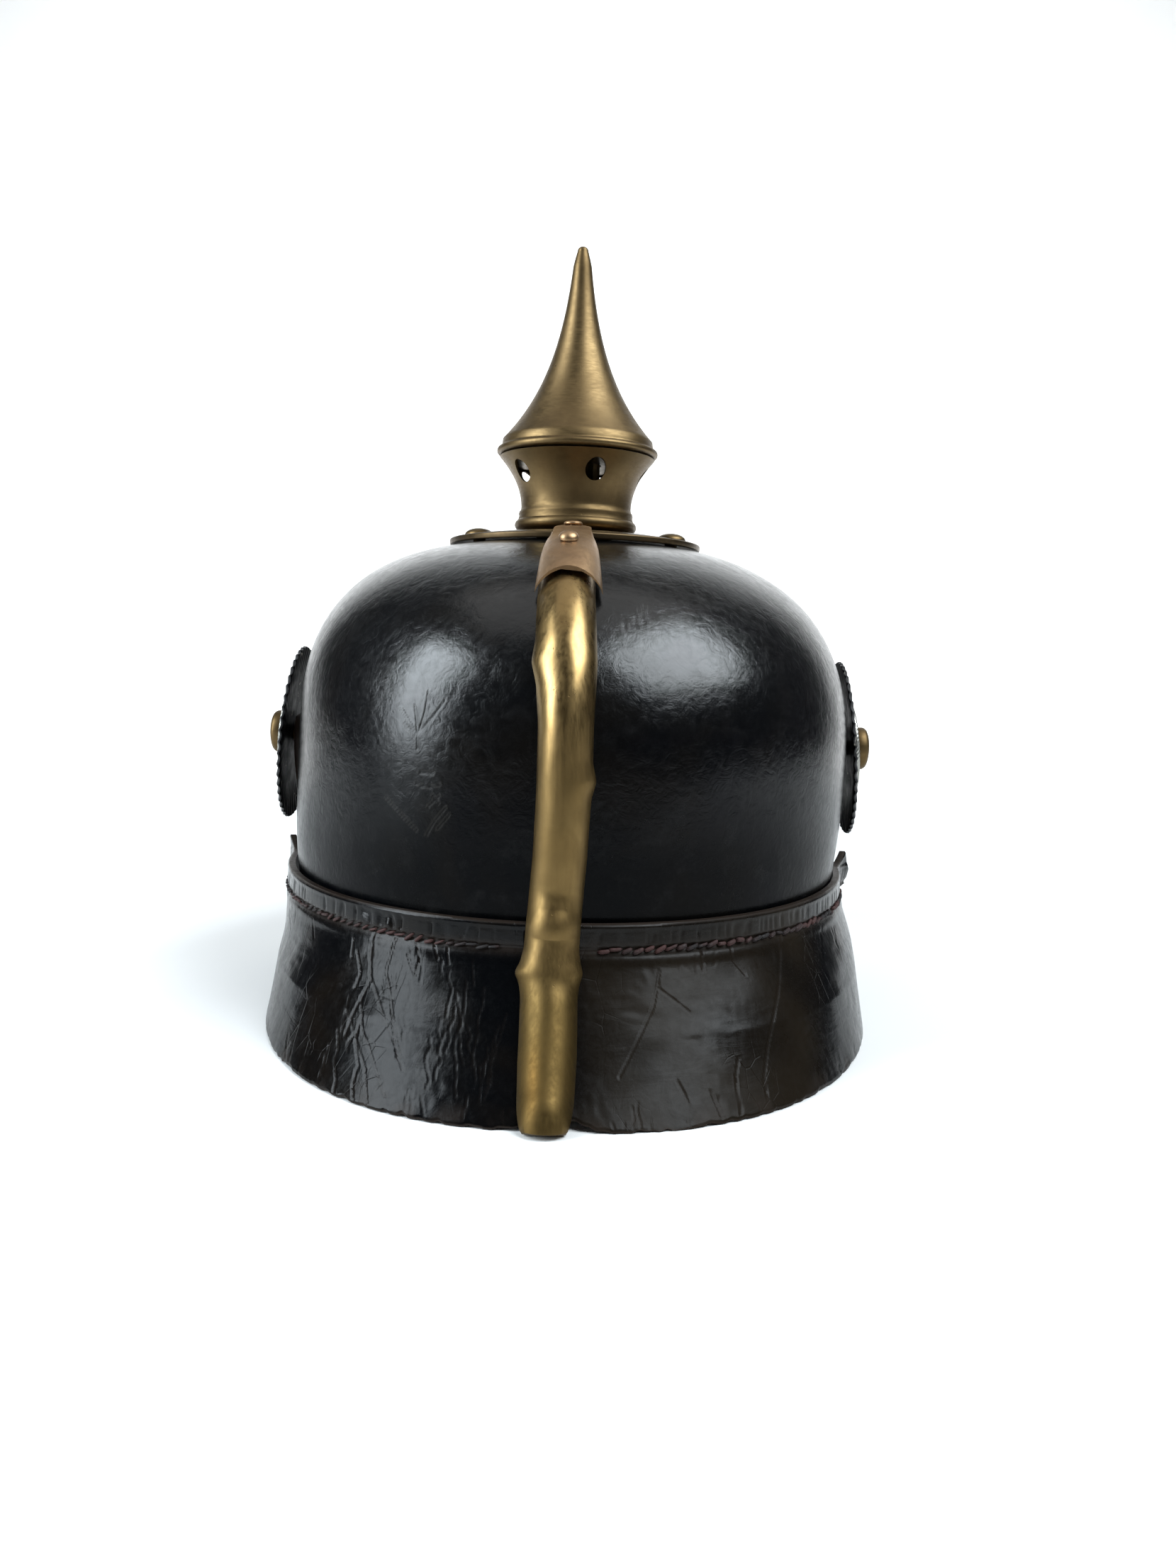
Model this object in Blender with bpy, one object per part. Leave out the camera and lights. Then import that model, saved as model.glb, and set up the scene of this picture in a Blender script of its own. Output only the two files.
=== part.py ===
"""Spiked leather helmet with brass fittings, stood on its visor and neck guard.

Frame: metres, +Z up. The visor faces -Y, the neck guard and rear spine face +Y, and
the wearer's left is +X. The origin is on the floor, under the spike. The dimensions
below are in millimetres.
"""
from math import atan2, cos, exp, pi, radians, sin, sqrt

import bmesh
import bpy
from mathutils import Matrix, Vector

MM = 0.001
GAP = 0.4                    # between pieces that touch on the real helmet

# Skull: a leather bowl, longer than it is wide, with a rounder crown.
HALF_WIDTH = 95.4
HALF_LENGTH = 118.0
SKULL_PLAN_POWER = 2.05
SKULL_WIDEST_Z = 77.0
SKULL_RISE = 80.4            # from the widest level to the crown
SKULL_POWER = 2.95
SKULL_RIM_Z = 38.0
SKULL_RIM_TUCK = 0.03        # how far the rim draws in, as a share of the half width
SKULL_THICKNESS = 3.0
CROWN_VENT_RADIUS = 12.0
SKULL_SEGMENTS = 48

# Neck guard and visor, sewn round the outside of the rim.
LAP_TOP_Z = 46.5
LEATHER = 2.6
FLARE_LEATHER = 3.2          # thickness below the rim
FLAT_EDGE_BLEND = 8.0        # height over which the guard's edge turns level
LAP_STEP = 1.4               # how far the lap leans out at the stitch line
GUARD_HALF_WIDTH = 101.5
GUARD_REACH = 147.0
GUARD_PLAN_POWER = 2.3
GUARD_END_ANGLE = 2.0        # degrees behind the side posts
GUARD_CORNER = 34.0          # length of the rounded front corner
HORN_RISE = 4.0
HORN_SPREAD = 3.2
HORN_LENGTH = 12.0
GUARD_NOTCH = 2.3            # lifts the edge where the spine hooks under it
VISOR_HALF_WIDTH = 101.0
VISOR_REACH = 152.9
VISOR_PLAN_POWER = 2.15
VISOR_END_ANGLE = 12.0
VISOR_CORNER = 46.0
VISOR_EDGE_Z = 3.8
TRIM_WALL = 0.8
TRIM_DEPTH = 3.2
TRIM_GAP = 0.65              # to the leather's faces inside the channel
THREAD_RADIUS = 0.5
STITCH_RISE = 1.6            # stitch line above the rim
STITCH_WANDER = 0.7

# Rear spine: a half-round hollow strip down the back.
SPINE_TOP_Z = 143.0
SPINE_WIDTH_TOP = 15.6
SPINE_WIDTH_FOOT = 13.0
SPINE_HEIGHT = 6.2
SPINE_SHEET = 0.9
SPINE_EXTRA_GAP = 0.4        # more room over the guard than over the skull
SPINE_HOOK_Z = 0.5

# Clip from the base plate over the spine's head.
CLIP_TOP_Y = 27.0
CLIP_FOOT_Y = 91.0
CLIP_RIVET_Y = 60.0
CLIP_TOP_WIDTH = 10.6
CLIP_FOOT_WIDTH = 19.0
CLIP_SHEET = 1.0
RIVET_SHANK = 1.3

# Base plate, spike neck and spike, all turned about +Z.
PLATE_RADIUS = 43.8
PLATE_BORE = 14.0
PLATE_CENTRE_Z = 160.2
PLATE_EDGE_Z = 157.2
PLATE_SHEET = 0.9
STUD_CIRCLE = 34.0
STUD_PLACES = ((STUD_CIRCLE, 0), (-STUD_CIRCLE, 0), (0, -STUD_CIRCLE), (0, STUD_CIRCLE))
STUD_HEAD_RADIUS = 5.0
STUD_HEAD_HEIGHT = 2.6
STUD_SHANK_RADIUS = 2.2
NECK_FOOT_Z = 160.7
NECK_WAIST_Z = 169.2
NECK_WAIST_RADIUS = 19.4
NECK_FLARE = 0.0256          # extra radius per squared millimetre above the waist
NECK_TOP_Z = 186.8
NECK_WALL = 0.9
NECK_BRIDGE_Z = 184.6
NECK_BRIDGE = 1.2
VENT_RADIUS = 3.6
VENT_COUNT = 5
VENT_Z = 180.4
VENT_FIRST_ANGLE = 110.4
CONE_FOOT_Z = 187.2
CONE_RIM_RADIUS = 28.3
CONE_START_Z = 191.3
CONE_START_RADIUS = 27.6
CONE_TAPER = 28.3            # height over which the radius falls by a factor e
CONE_TIP_Z = 258.8
CONE_WALL = 1.4
STEM_RADIUS = 5.0
BUSH_RADIUS = 8.0

# Cockades on the side posts.
POST_Z = 87.5
SHANK_RADIUS = 2.9
COCKADE_RADIUS = 31.0
COCKADE_TILT = 5.0           # degrees, top edge towards the skull
COCKADE_RING_RADIUS = 15.5
BOSS_RADIUS = 7.6
COCKADE_SEAT_X = 98.1
COCKADE_NUT_X = 91.4

# Chin strap: two halves that overlap at the front, under two slide buckles.
STRAP_WIDTH = 16.0
STRAP_THICKNESS = 2.4
STRAP_HALF_WIDTH = 97.0
STRAP_REACH = 125.4
STRAP_FRONT_Z = 57.4
STRAP_DROP_END = 44.0        # the strap is level further forward than this
STRAP_OVERLAP = 38.0
STRAP_LAYER = 3.0            # between the middles of the two halves where they overlap
STRAP_TAB = 6.5              # leather above the post's hole
BUCKLE_X = 26.0
BUCKLE_LENGTH = 8.0

# Generic front plate.
SHIELD_LOW_Z = 63.0
SHIELD_HIGH_Z = 141.0
SHIELD_SHEET = 1.0
SHIELD_SCREW_X = 25.0
SHIELD_SCREW_Z = 112.0
SHIELD_SHANK = 1.6

# Liner.
BAND_LOW_Z = 42.0
BAND_HIGH_Z = 72.0
LINER_SHEET = 1.5
LINER_FINGERS = 9
LINER_TOP_Z = 131.0
LINER_SLACK = 0.7            # between the sweatband and the fingers sewn to it
FINGER_LEAN = 7.0            # how far the fingers stand in from the skull


# ---------------------------------------------------------------- scene and materials

def clear_scene():
    for item in list(bpy.data.objects):
        bpy.data.objects.remove(item, do_unlink=True)


def make_material(name, colour, roughness, metallic):
    material = bpy.data.materials.new(name)
    material.use_nodes = True
    shader = material.node_tree.nodes["Principled BSDF"]
    shader.inputs["Base Color"].default_value = (*colour, 1.0)
    shader.inputs["Roughness"].default_value = roughness
    shader.inputs["Metallic"].default_value = metallic
    material.diffuse_color = (*colour, 1.0)
    return material


def make_materials():
    finishes = {
        "black_leather": ((0.012, 0.013, 0.015), 0.32, 0.0),
        "strap_leather": ((0.035, 0.022, 0.016), 0.55, 0.0),
        "liner_leather": ((0.30, 0.18, 0.09), 0.65, 0.0),
        "aged_brass": ((0.33, 0.23, 0.11), 0.36, 1.0),
        "bright_brass": ((0.55, 0.38, 0.14), 0.30, 1.0),
        "copper_brass": ((0.42, 0.26, 0.17), 0.38, 1.0),
        "black_enamel": ((0.01, 0.01, 0.01), 0.35, 0.2),
        "silver": ((0.62, 0.62, 0.58), 0.35, 1.0),
        "steel": ((0.35, 0.34, 0.32), 0.45, 1.0),
        "thread": ((0.06, 0.02, 0.018), 0.8, 0.0),
    }
    return {name: make_material(name, *values) for name, values in finishes.items()}


def add_pivot(name, place):
    pivot = bpy.data.objects.new(name, None)
    pivot.location = Vector(place) * MM
    bpy.context.collection.objects.link(pivot)
    return pivot


def add_piece(name, bm, material, origin=(0.0, 0.0, 0.0), parent=None, smooth=True):
    """Store a millimetre mesh as an object in metres, with its origin where asked."""
    base = Vector(origin)
    for vert in bm.verts:
        vert.co = (vert.co - base) * MM
    mesh = bpy.data.meshes.new(name)
    bm.to_mesh(mesh)
    bm.free()
    if smooth:
        mesh.shade_smooth()
        mesh.set_sharp_from_angle(angle=radians(35))
    mesh.materials.append(MATERIALS[material])
    piece = bpy.data.objects.new(name, mesh)
    bpy.context.collection.objects.link(piece)
    piece.location = base * MM
    if parent:
        piece.parent = parent
        piece.location = base * MM - parent.location
    return piece


def solidify(piece, thickness, side):
    sheet = piece.modifiers.new("thickness", "SOLIDIFY")
    sheet.thickness = thickness * MM
    sheet.offset = side
    sheet.use_even_offset = True


# ---------------------------------------------------------------- mesh builders

def bridge_rings(rings, closed):
    """Skin a row of equal rings, then join the last to the first or cap both ends."""
    bm = bmesh.new()
    loops = [[bm.verts.new(point) for point in ring] for ring in rings]
    pairs = list(zip(loops, loops[1:]))
    if closed:
        pairs.append((loops[-1], loops[0]))
    for lower, upper in pairs:
        for here in range(len(lower)):
            after = (here + 1) % len(lower)
            bm.faces.new((lower[here], lower[after], upper[after], upper[here]))
    if not closed:
        bm.faces.new(loops[0][::-1])
        bm.faces.new(loops[-1])
    bmesh.ops.recalc_face_normals(bm, faces=bm.faces)
    return bm


def sheet_mesh(rows):
    """A grid of quads through rows of points; None leaves the quads beside it out."""
    bm = bmesh.new()
    grid = [[bm.verts.new(point) if point else None for point in row] for row in rows]
    for low, high in zip(grid, grid[1:]):
        for here in range(len(low) - 1):
            corners = (low[here], low[here + 1], high[here + 1], high[here])
            if all(corners):
                bm.faces.new(corners)
    loose = [vert for vert in bm.verts if not vert.link_faces]
    bmesh.ops.delete(bm, geom=loose, context="VERTS")
    return bm


def turned(profile, segments, place=(0, 0, 0), direction=(0, 0, 1)):
    """Turn a closed outline of (radius, height) points, then aim +Z along direction."""
    bm = bmesh.new()
    verts = [bm.verts.new((radius, 0.0, height)) for radius, height in profile]
    edges = []
    for first, second in zip(verts, verts[1:] + verts[:1]):
        if first.co.x > 0 or second.co.x > 0:
            edges.append(bm.edges.new((first, second)))
    bmesh.ops.spin(bm, geom=verts + edges, cent=(0, 0, 0), axis=(0, 0, 1),
                   angle=2 * pi, steps=segments, use_merge=True)
    bmesh.ops.remove_doubles(bm, verts=bm.verts, dist=1e-4)
    bmesh.ops.recalc_face_normals(bm, faces=bm.faces)
    aim = Vector((0, 0, 1)).rotation_difference(Vector(direction)).to_matrix().to_4x4()
    bmesh.ops.transform(bm, matrix=Matrix.Translation(place) @ aim, verts=bm.verts)
    return bm


def drill(piece, holes, segments=12):
    """Cut round holes, each given as (middle, direction, radius, length)."""
    bm = bmesh.new()
    for middle, direction, radius, length in holes:
        aim = Vector((0, 0, 1)).rotation_difference(Vector(direction)).to_matrix().to_4x4()
        bmesh.ops.create_cone(bm, cap_ends=True, segments=segments, radius1=radius,
                              radius2=radius, depth=length,
                              matrix=Matrix.Translation(middle) @ aim)
    cutter = add_piece(piece.name + "_holes", bm, "steel", smooth=False)
    cutter.hide_render = True
    cutter.display_type = "WIRE"
    cut = piece.modifiers.new("holes", "BOOLEAN")
    cut.operation = "DIFFERENCE"
    cut.solver = "EXACT"
    cut.object = cutter


def dome_outline(radius, height, shank_radius, shank_length, steps=3):
    """A domed head standing on Z = 0 with a plain shank below it."""
    arc = [(radius * cos(turn), height * sin(turn))
           for turn in (pi / 2 * step / steps for step in range(steps))]
    return [(0.0, -shank_length), (shank_radius, -shank_length), (shank_radius, 0.0)] \
        + arc + [(0.0, height)]


def washer_outline(bore, radius, low, high):
    return [(bore, low), (radius, low), (radius, high), (bore, high)]


# ---------------------------------------------------------------- surfaces

def superellipse(angle, half_x, half_y, power):
    across, along = cos(angle), sin(angle)
    scale = (abs(across) ** power + abs(along) ** power) ** (-1 / power)
    return half_x * across * scale, half_y * along * scale


def skull_axes(z, offset=0.0):
    """Half width and half length of the skull's outer face at a height."""
    half_width = HALF_WIDTH + offset
    half_length = HALF_LENGTH + offset
    if z >= SKULL_WIDEST_Z:
        level = min((z - SKULL_WIDEST_Z) / (SKULL_RISE + offset), 1.0)
        reach = (1 - level ** SKULL_POWER) ** (1 / SKULL_POWER)
        stretch = 1 - level ** 3
        length = half_width + (half_length - half_width) * stretch
        return reach * half_width, reach * length
    drop = (SKULL_WIDEST_Z - z) / (SKULL_WIDEST_Z - SKULL_RIM_Z)
    tuck = HALF_WIDTH * SKULL_RIM_TUCK * drop ** 2
    return half_width - tuck, half_length - tuck


def skull_point(angle, z, offset=0.0):
    return (*superellipse(angle, *skull_axes(z, offset), SKULL_PLAN_POWER), z)


def skull_top(x, y, offset=0.0):
    """Height of the skull above a point in plan, by halving the interval."""
    low, high = SKULL_WIDEST_Z, SKULL_WIDEST_Z + SKULL_RISE + offset
    for _ in range(40):
        middle = (low + high) / 2
        half_x, half_y = skull_axes(middle, offset)
        inside = half_x > 0 and (abs(x) / half_x) ** SKULL_PLAN_POWER \
            + (abs(y) / half_y) ** SKULL_PLAN_POWER < 1
        low, high = (middle, high) if inside else (low, middle)
    return low


def skull_front(x, z, offset=0.0):
    """Point on the front of the skull, -Y side, at a given x and height."""
    half_x, half_y = skull_axes(z, offset)
    share = 1 - (abs(x) / half_x) ** SKULL_PLAN_POWER
    return Vector((x, -half_y * share ** (1 / SKULL_PLAN_POWER), z))


def front_normal(x, z):
    step = 0.5
    across = skull_front(x + step, z) - skull_front(x - step, z)
    upward = skull_front(x, z + step) - skull_front(x, z - step)
    return across.cross(upward).normalized()


def plate_top(radius):
    """Height of the shallow base plate's upper face."""
    share = max(radius - PLATE_BORE, 0) / (PLATE_RADIUS - PLATE_BORE)
    return PLATE_CENTRE_Z + (PLATE_EDGE_Z - PLATE_CENTRE_Z) * share ** 2


def flared_axes(z, half_width, reach):
    """Half axes of a brim's outer face: a lap on the rim, then a concave flare."""
    lap = GAP + LEATHER
    half_x, half_y = skull_axes(max(z, SKULL_RIM_Z), lap)
    lean = LAP_STEP * min((LAP_TOP_Z - z) / (LAP_TOP_Z - SKULL_RIM_Z), 1.0)
    half_x += max(lean, 0)
    half_y += max(lean, 0)
    fall = max((SKULL_RIM_Z - z) / SKULL_RIM_Z, 0)
    ease = 0.45 * fall + 0.55 * fall ** 1.6
    return half_x + (half_width - half_x) * ease, half_y + (reach - half_y) * ease


def brim_point(angle, z, inset, brim):
    half_x, half_y = flared_axes(z, brim["half_width"], brim["reach"])
    fall = max((SKULL_RIM_Z - z) / SKULL_RIM_Z, 0)
    power = SKULL_PLAN_POWER + (brim["power"] - SKULL_PLAN_POWER) * min(fall * 2, 1)
    return Vector((*superellipse(angle, half_x - inset, half_y - inset, power), z))


def corner_drop(length, corner):
    """How much of the full drop a brim has at a distance from its end."""
    if length >= corner:
        return 1.0
    return sqrt(1 - (1 - length / corner) ** 2)


def brim_edge_z(angle, brim):
    from_end = min(angle - brim["start"], brim["end"] - angle)
    length = from_end * brim["half_width"]
    share = corner_drop(length, brim["corner"])
    lip = SKULL_RIM_Z - brim["lip"]
    edge = lip + (brim["edge_z"] - lip) * share
    return edge + brim["notch"] * max(0.0, 1 - max(0.0, abs(angle - pi / 2) - radians(3))
                                      / radians(3))


def brim_pair(angle, z, edge, brim):
    """Outer and inner points of a brim's leather at one height of its outer face."""
    from_end = min(angle - brim["start"], brim["end"] - angle) * brim["half_width"]
    spread = HORN_SPREAD * max(0.0, 1 - from_end / HORN_LENGTH) ** 2 * brim["horn"]
    if z >= SKULL_RIM_Z:
        lean = LAP_STEP * min((LAP_TOP_Z - z) / (LAP_TOP_Z - SKULL_RIM_Z), 1.0)
        flare = spread if z > SKULL_RIM_Z else 0.0
        return (brim_point(angle, z, -flare, brim),
                brim_point(angle, z, LEATHER + max(lean, 0) - flare, brim))
    above = brim_point(angle, z + 0.5, 0.0, brim).xy.length
    below = brim_point(angle, z - 0.5, 0.0, brim).xy.length
    slope = atan2(below - above, 1.0)
    square = min((z - edge) / FLAT_EDGE_BLEND, 1.0) if brim["flat_edge"] else 1.0
    inset = FLARE_LEATHER * (cos(slope) * square + (1 - square) / cos(slope))
    sink = FLARE_LEATHER * sin(slope) * square
    return (brim_point(angle, z, 0.0, brim),
            brim_point(angle, z, inset, brim) - Vector((0, 0, sink)))


def brim_section(angle, brim, levels=4):
    """Cross-section of a brim: down its outer face, then up its inner face."""
    from_end = min(angle - brim["start"], brim["end"] - angle) * brim["half_width"]
    horn = max(0.0, 1 - from_end / HORN_LENGTH) ** 2
    top = LAP_TOP_Z + HORN_RISE * horn * brim["horn"]
    edge = brim_edge_z(angle, brim)
    heights = [top, (LAP_TOP_Z + SKULL_RIM_Z) / 2, SKULL_RIM_Z]
    heights += [SKULL_RIM_Z + (edge - SKULL_RIM_Z) * step / levels
                for step in range(1, levels + 1)]
    pairs = [brim_pair(angle, z, edge, brim) for z in heights]
    return [outer for outer, _ in pairs] + [inner for _, inner in reversed(pairs)]


GUARD = {"half_width": GUARD_HALF_WIDTH, "reach": GUARD_REACH, "power": GUARD_PLAN_POWER,
         "start": radians(GUARD_END_ANGLE), "end": radians(180 - GUARD_END_ANGLE),
         "corner": GUARD_CORNER, "edge_z": 0.0, "lip": 3.0, "notch": GUARD_NOTCH,
         "horn": 1.0, "flat_edge": True}
VISOR = {"half_width": VISOR_HALF_WIDTH, "reach": VISOR_REACH, "power": VISOR_PLAN_POWER,
         "start": radians(180 + VISOR_END_ANGLE), "end": radians(360 - VISOR_END_ANGLE),
         "corner": VISOR_CORNER, "edge_z": VISOR_EDGE_Z, "lip": 2.0, "notch": 0.0,
         "horn": 0.0, "flat_edge": False}


def brim_angles(brim, step):
    """Stations along a brim, closer together round its two corners."""
    start, end = brim["start"], brim["end"]
    near = [0, 0.6, 1.5, 3, 5, 8]
    first = [start + radians(turn) for turn in near]
    last = [end - radians(turn) for turn in reversed(near)]
    count = round((last[0] - first[-1]) / radians(step))
    middle = [first[-1] + (last[0] - first[-1]) * index / count
              for index in range(1, count)]
    return first + middle + last


# ---------------------------------------------------------------- leather body

def build_skull():
    def rings(offset, heights):
        turns = [2 * pi * index / SKULL_SEGMENTS for index in range(SKULL_SEGMENTS)]
        return [[skull_point(turn, z, offset) for turn in turns] for z in heights]

    def heights(offset, steps):
        rise = SKULL_RISE + offset
        sides = [SKULL_RIM_Z, 56.0, SKULL_WIDEST_Z]
        top_turn = pi / 2 * (1 - 1 / (steps + 1))
        turns = [top_turn * step / steps for step in range(1, steps)]
        crown = [SKULL_WIDEST_Z + rise * sin(turn) ** (2 / SKULL_POWER) for turn in turns]
        share = CROWN_VENT_RADIUS / (HALF_WIDTH + offset)
        vent = SKULL_WIDEST_Z + rise * (1 - share ** SKULL_POWER) ** (1 / SKULL_POWER)
        return sides + crown + [vent]

    outer = rings(0.0, heights(0.0, 8))
    inner = rings(-SKULL_THICKNESS, heights(-SKULL_THICKNESS, 8))
    skull = add_piece("skull", bridge_rings(outer + inner[::-1], closed=True),
                      "black_leather")
    holes = []
    for x, y in STUD_PLACES:
        holes.append(((x, y, skull_top(x, y)), (0, 0, 1), STUD_SHANK_RADIUS + GAP, 30))
    for side in (1, -1):
        holes.append(((side * HALF_WIDTH, 0, POST_Z), (1, 0, 0), SHANK_RADIUS + GAP, 30))
        middle = skull_front(side * SHIELD_SCREW_X, SHIELD_SCREW_Z)
        aim = front_normal(side * SHIELD_SCREW_X, SHIELD_SCREW_Z)
        holes.append((middle, aim, SHIELD_SHANK + GAP, 24))
    holes.append((spine_station(CLIP_RIVET_Y)[0], spine_station(CLIP_RIVET_Y)[1],
                  RIVET_SHANK + GAP, 24))
    drill(skull, holes)


def build_brims():
    guard_rings = [brim_section(angle, GUARD) for angle in brim_angles(GUARD, 5)]
    add_piece("neck_guard", bridge_rings(guard_rings, closed=False), "black_leather")
    visor_rings = [brim_section(angle, VISOR) for angle in brim_angles(VISOR, 6)]
    add_piece("front_visor", bridge_rings(visor_rings, closed=False), "black_leather")


def build_visor_trim():
    """Brass channel folded over the visor's edge."""
    def edge(angle):
        z = brim_edge_z(angle, VISOR)
        outer, inner = brim_pair(angle, z, z, VISOR)
        return (outer + inner) / 2, outer, inner

    inside = FLARE_LEATHER / 2 + TRIM_GAP
    outside = inside + TRIM_WALL
    lip = GAP + TRIM_WALL
    outline = [(-outside, -TRIM_DEPTH), (-outside, GAP), (-inside, lip), (inside, lip),
               (outside, GAP), (outside, -TRIM_DEPTH), (inside, -TRIM_DEPTH),
               (inside, GAP), (-inside, GAP), (-inside, -TRIM_DEPTH)]
    rings = []
    step = radians(0.4)
    for angle in brim_angles(VISOR, 6)[2:-2]:
        middle, outer, inner = edge(angle)
        along = (edge(angle + step)[0] - edge(angle - step)[0]).normalized()
        across = (outer - inner)
        across = (across - along * across.dot(along)).normalized()
        down = along.cross(across).normalized()
        if down.z > 0:
            down = -down
        rings.append([middle + across * a + down * b for a, b in outline])
    add_piece("visor_trim", bridge_rings(rings, closed=False), "bright_brass")


def thread_mesh(angles, brim):
    """Four-sided thread that wanders above and below the stitch line."""
    rings = []
    for index, angle in enumerate(angles):
        z = SKULL_RIM_Z + STITCH_RISE + STITCH_WANDER * (-1) ** index
        middle = brim_point(angle, z, -(THREAD_RADIUS + GAP), brim)
        outward = Vector((middle.x, middle.y, 0)).normalized()
        rings.append([middle + outward * (THREAD_RADIUS * cos(turn))
                      + Vector((0, 0, THREAD_RADIUS * sin(turn)))
                      for turn in (0, pi / 2, pi, 3 * pi / 2)])
    return bridge_rings(rings, closed=False)


def build_threads():
    """Waxed sewing thread along each brim; the guard's is parted by the spine."""
    guard = brim_angles(GUARD, 3)[4:-4]
    left = [angle for angle in guard if angle < pi / 2 - radians(6)]
    right = [angle for angle in guard if angle > pi / 2 + radians(6)]
    visor = brim_angles(VISOR, 3)[4:-4]
    add_piece("guard_thread_left", thread_mesh(left, GUARD), "thread")
    add_piece("guard_thread_right", thread_mesh(right, GUARD), "thread")
    add_piece("visor_thread", thread_mesh(visor, VISOR), "thread")


# ---------------------------------------------------------------- rear spine and clip

def rear_surface(z):
    """How far back the helmet's centre line reaches at a height."""
    if z < LAP_TOP_Z:
        return flared_axes(z, GUARD_HALF_WIDTH, GUARD_REACH)[1]
    step = max(0.0, 1 - (z - LAP_TOP_Z) / 7)
    return skull_axes(z)[1] + (GAP + LEATHER) * step ** 2 * (3 - 2 * step)


def spine_station(y):
    """Point and outward normal on the crown's centre line at a distance behind it."""
    here = Vector((0, y, skull_top(0, y)))
    ahead = Vector((0, y + 0.5, skull_top(0, y + 0.5)))
    along = (ahead - here).normalized()
    return here, Vector((0, -along.z, along.y))


def spine_path():
    heights = [SPINE_TOP_Z, 138, 131, 123, 114, 104, 93, 82, 71, 62, 55, 50, 46, 42, 38,
               32, 25, 18, 12, 7, 4]
    path = [Vector((0, rear_surface(z) + GAP + SPINE_EXTRA_GAP * (z < LAP_TOP_Z), z))
            for z in heights]
    foot = rear_surface(0.0)
    path.append(Vector((0, foot + 1.9, 1.4)))
    path.append(Vector((0, foot + 0.2, SPINE_HOOK_Z)))
    path.append(Vector((0, foot - 4.0, SPINE_HOOK_Z)))
    return path


def build_spine():
    path = spine_path()
    rows = []
    for index, middle in enumerate(path):
        before = path[max(index - 1, 0)]
        after = path[min(index + 1, len(path) - 1)]
        along = (after - before).normalized()
        normal = Vector((0, -along.z, along.y))
        share = index / (len(path) - 1)
        width = SPINE_WIDTH_TOP + (SPINE_WIDTH_FOOT - SPINE_WIDTH_TOP) * share
        height = SPINE_HEIGHT
        if index >= len(path) - 6:
            height *= (0.92, 0.78, 0.52, 0.22, 0.0, 0.0)[index - len(path)]
            width *= (1.0, 0.96, 0.86, 0.74, 0.62, 0.5)[index - len(path)]
        row = []
        for step in range(9):
            turn = pi * step / 8
            out = height * sin(turn)
            row.append(middle + Vector((width / 2 * cos(turn), 0, 0)) + normal * out)
        rows.append([tuple(point) for point in row])
    spine = add_piece("rear_spine", sheet_mesh(rows), "bright_brass")
    solidify(spine, SPINE_SHEET, 1.0)


def build_clip():
    """Tongue from the base plate's rear stud down over the head of the spine."""
    def middle(y):
        if y <= PLATE_RADIUS:
            return Vector((0, y, plate_top(y) + GAP)), Vector((0, 0, 1))
        point, normal = spine_station(y)
        edge = plate_top(PLATE_RADIUS) + GAP - skull_top(0, PLATE_RADIUS)
        share = min((y - PLATE_RADIUS) / (CLIP_FOOT_Y - PLATE_RADIUS), 1)
        lift = edge + (SPINE_HEIGHT + 1.6 - edge) * share
        return point + normal * lift, normal

    rows = []
    stations = [CLIP_TOP_Y, 28.5, 33, 38, 44.4, 49, 55, 62, 70, 78, 85, CLIP_FOOT_Y]
    for y in stations:
        point, normal = middle(y)
        share = max(0.0, (y - 40) / (CLIP_FOOT_Y - 40))
        width = CLIP_TOP_WIDTH + (CLIP_FOOT_WIDTH - CLIP_TOP_WIDTH) * share
        if y < 33:
            width *= sqrt(1 - ((33 - y) / 6.4) ** 2)
        sag = (SPINE_HEIGHT + 0.9) * share ** 1.5
        row = []
        for step in range(9):
            side = step / 4 - 1
            drop = sag * (1 - sqrt(max(0.0, 1 - (side * 0.985) ** 2)))
            spot = point + Vector((width / 2 * side, 0, 0)) - normal * drop
            row.append(tuple(spot))
        rows.append(row)
    clip = add_piece("spine_clip", sheet_mesh(rows), "copper_brass")
    solidify(clip, CLIP_SHEET, 1.0)
    rivet_point, rivet_normal = middle(CLIP_RIVET_Y)
    drill(clip, [((0, STUD_CIRCLE, PLATE_CENTRE_Z), (0, 0, 1), RIVET_SHANK + GAP, 16),
                 (rivet_point, rivet_normal, RIVET_SHANK + GAP, 12)])
    head = rivet_point + rivet_normal * (CLIP_SHEET + GAP)
    add_piece("clip_rivet_lower",
              turned(dome_outline(2.8, 1.9, RIVET_SHANK, 10.5), 12, head, rivet_normal),
              "copper_brass")
    top = plate_top(STUD_CIRCLE) + 2 * GAP + CLIP_SHEET
    add_piece("clip_rivet_upper",
              turned(dome_outline(3.0, 1.5, RIVET_SHANK, 14.0), 12, (0, STUD_CIRCLE, top)),
              "copper_brass")


# ---------------------------------------------------------------- base plate and spike

def build_base_plate():
    radii = [PLATE_BORE, 24.0, 36.0, PLATE_RADIUS]
    upper = [(radius, plate_top(radius)) for radius in radii]
    lower = [(radius, height - PLATE_SHEET) for radius, height in upper]
    edge = [(PLATE_RADIUS + 0.5, PLATE_EDGE_Z - PLATE_SHEET * 0.7)]
    plate = add_piece("base_plate", turned(lower + edge + upper[::-1], 36), "aged_brass")
    drill(plate, [((x, y, PLATE_EDGE_Z), (0, 0, 1), STUD_SHANK_RADIUS + GAP, 20)
                  for x, y in STUD_PLACES])


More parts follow.
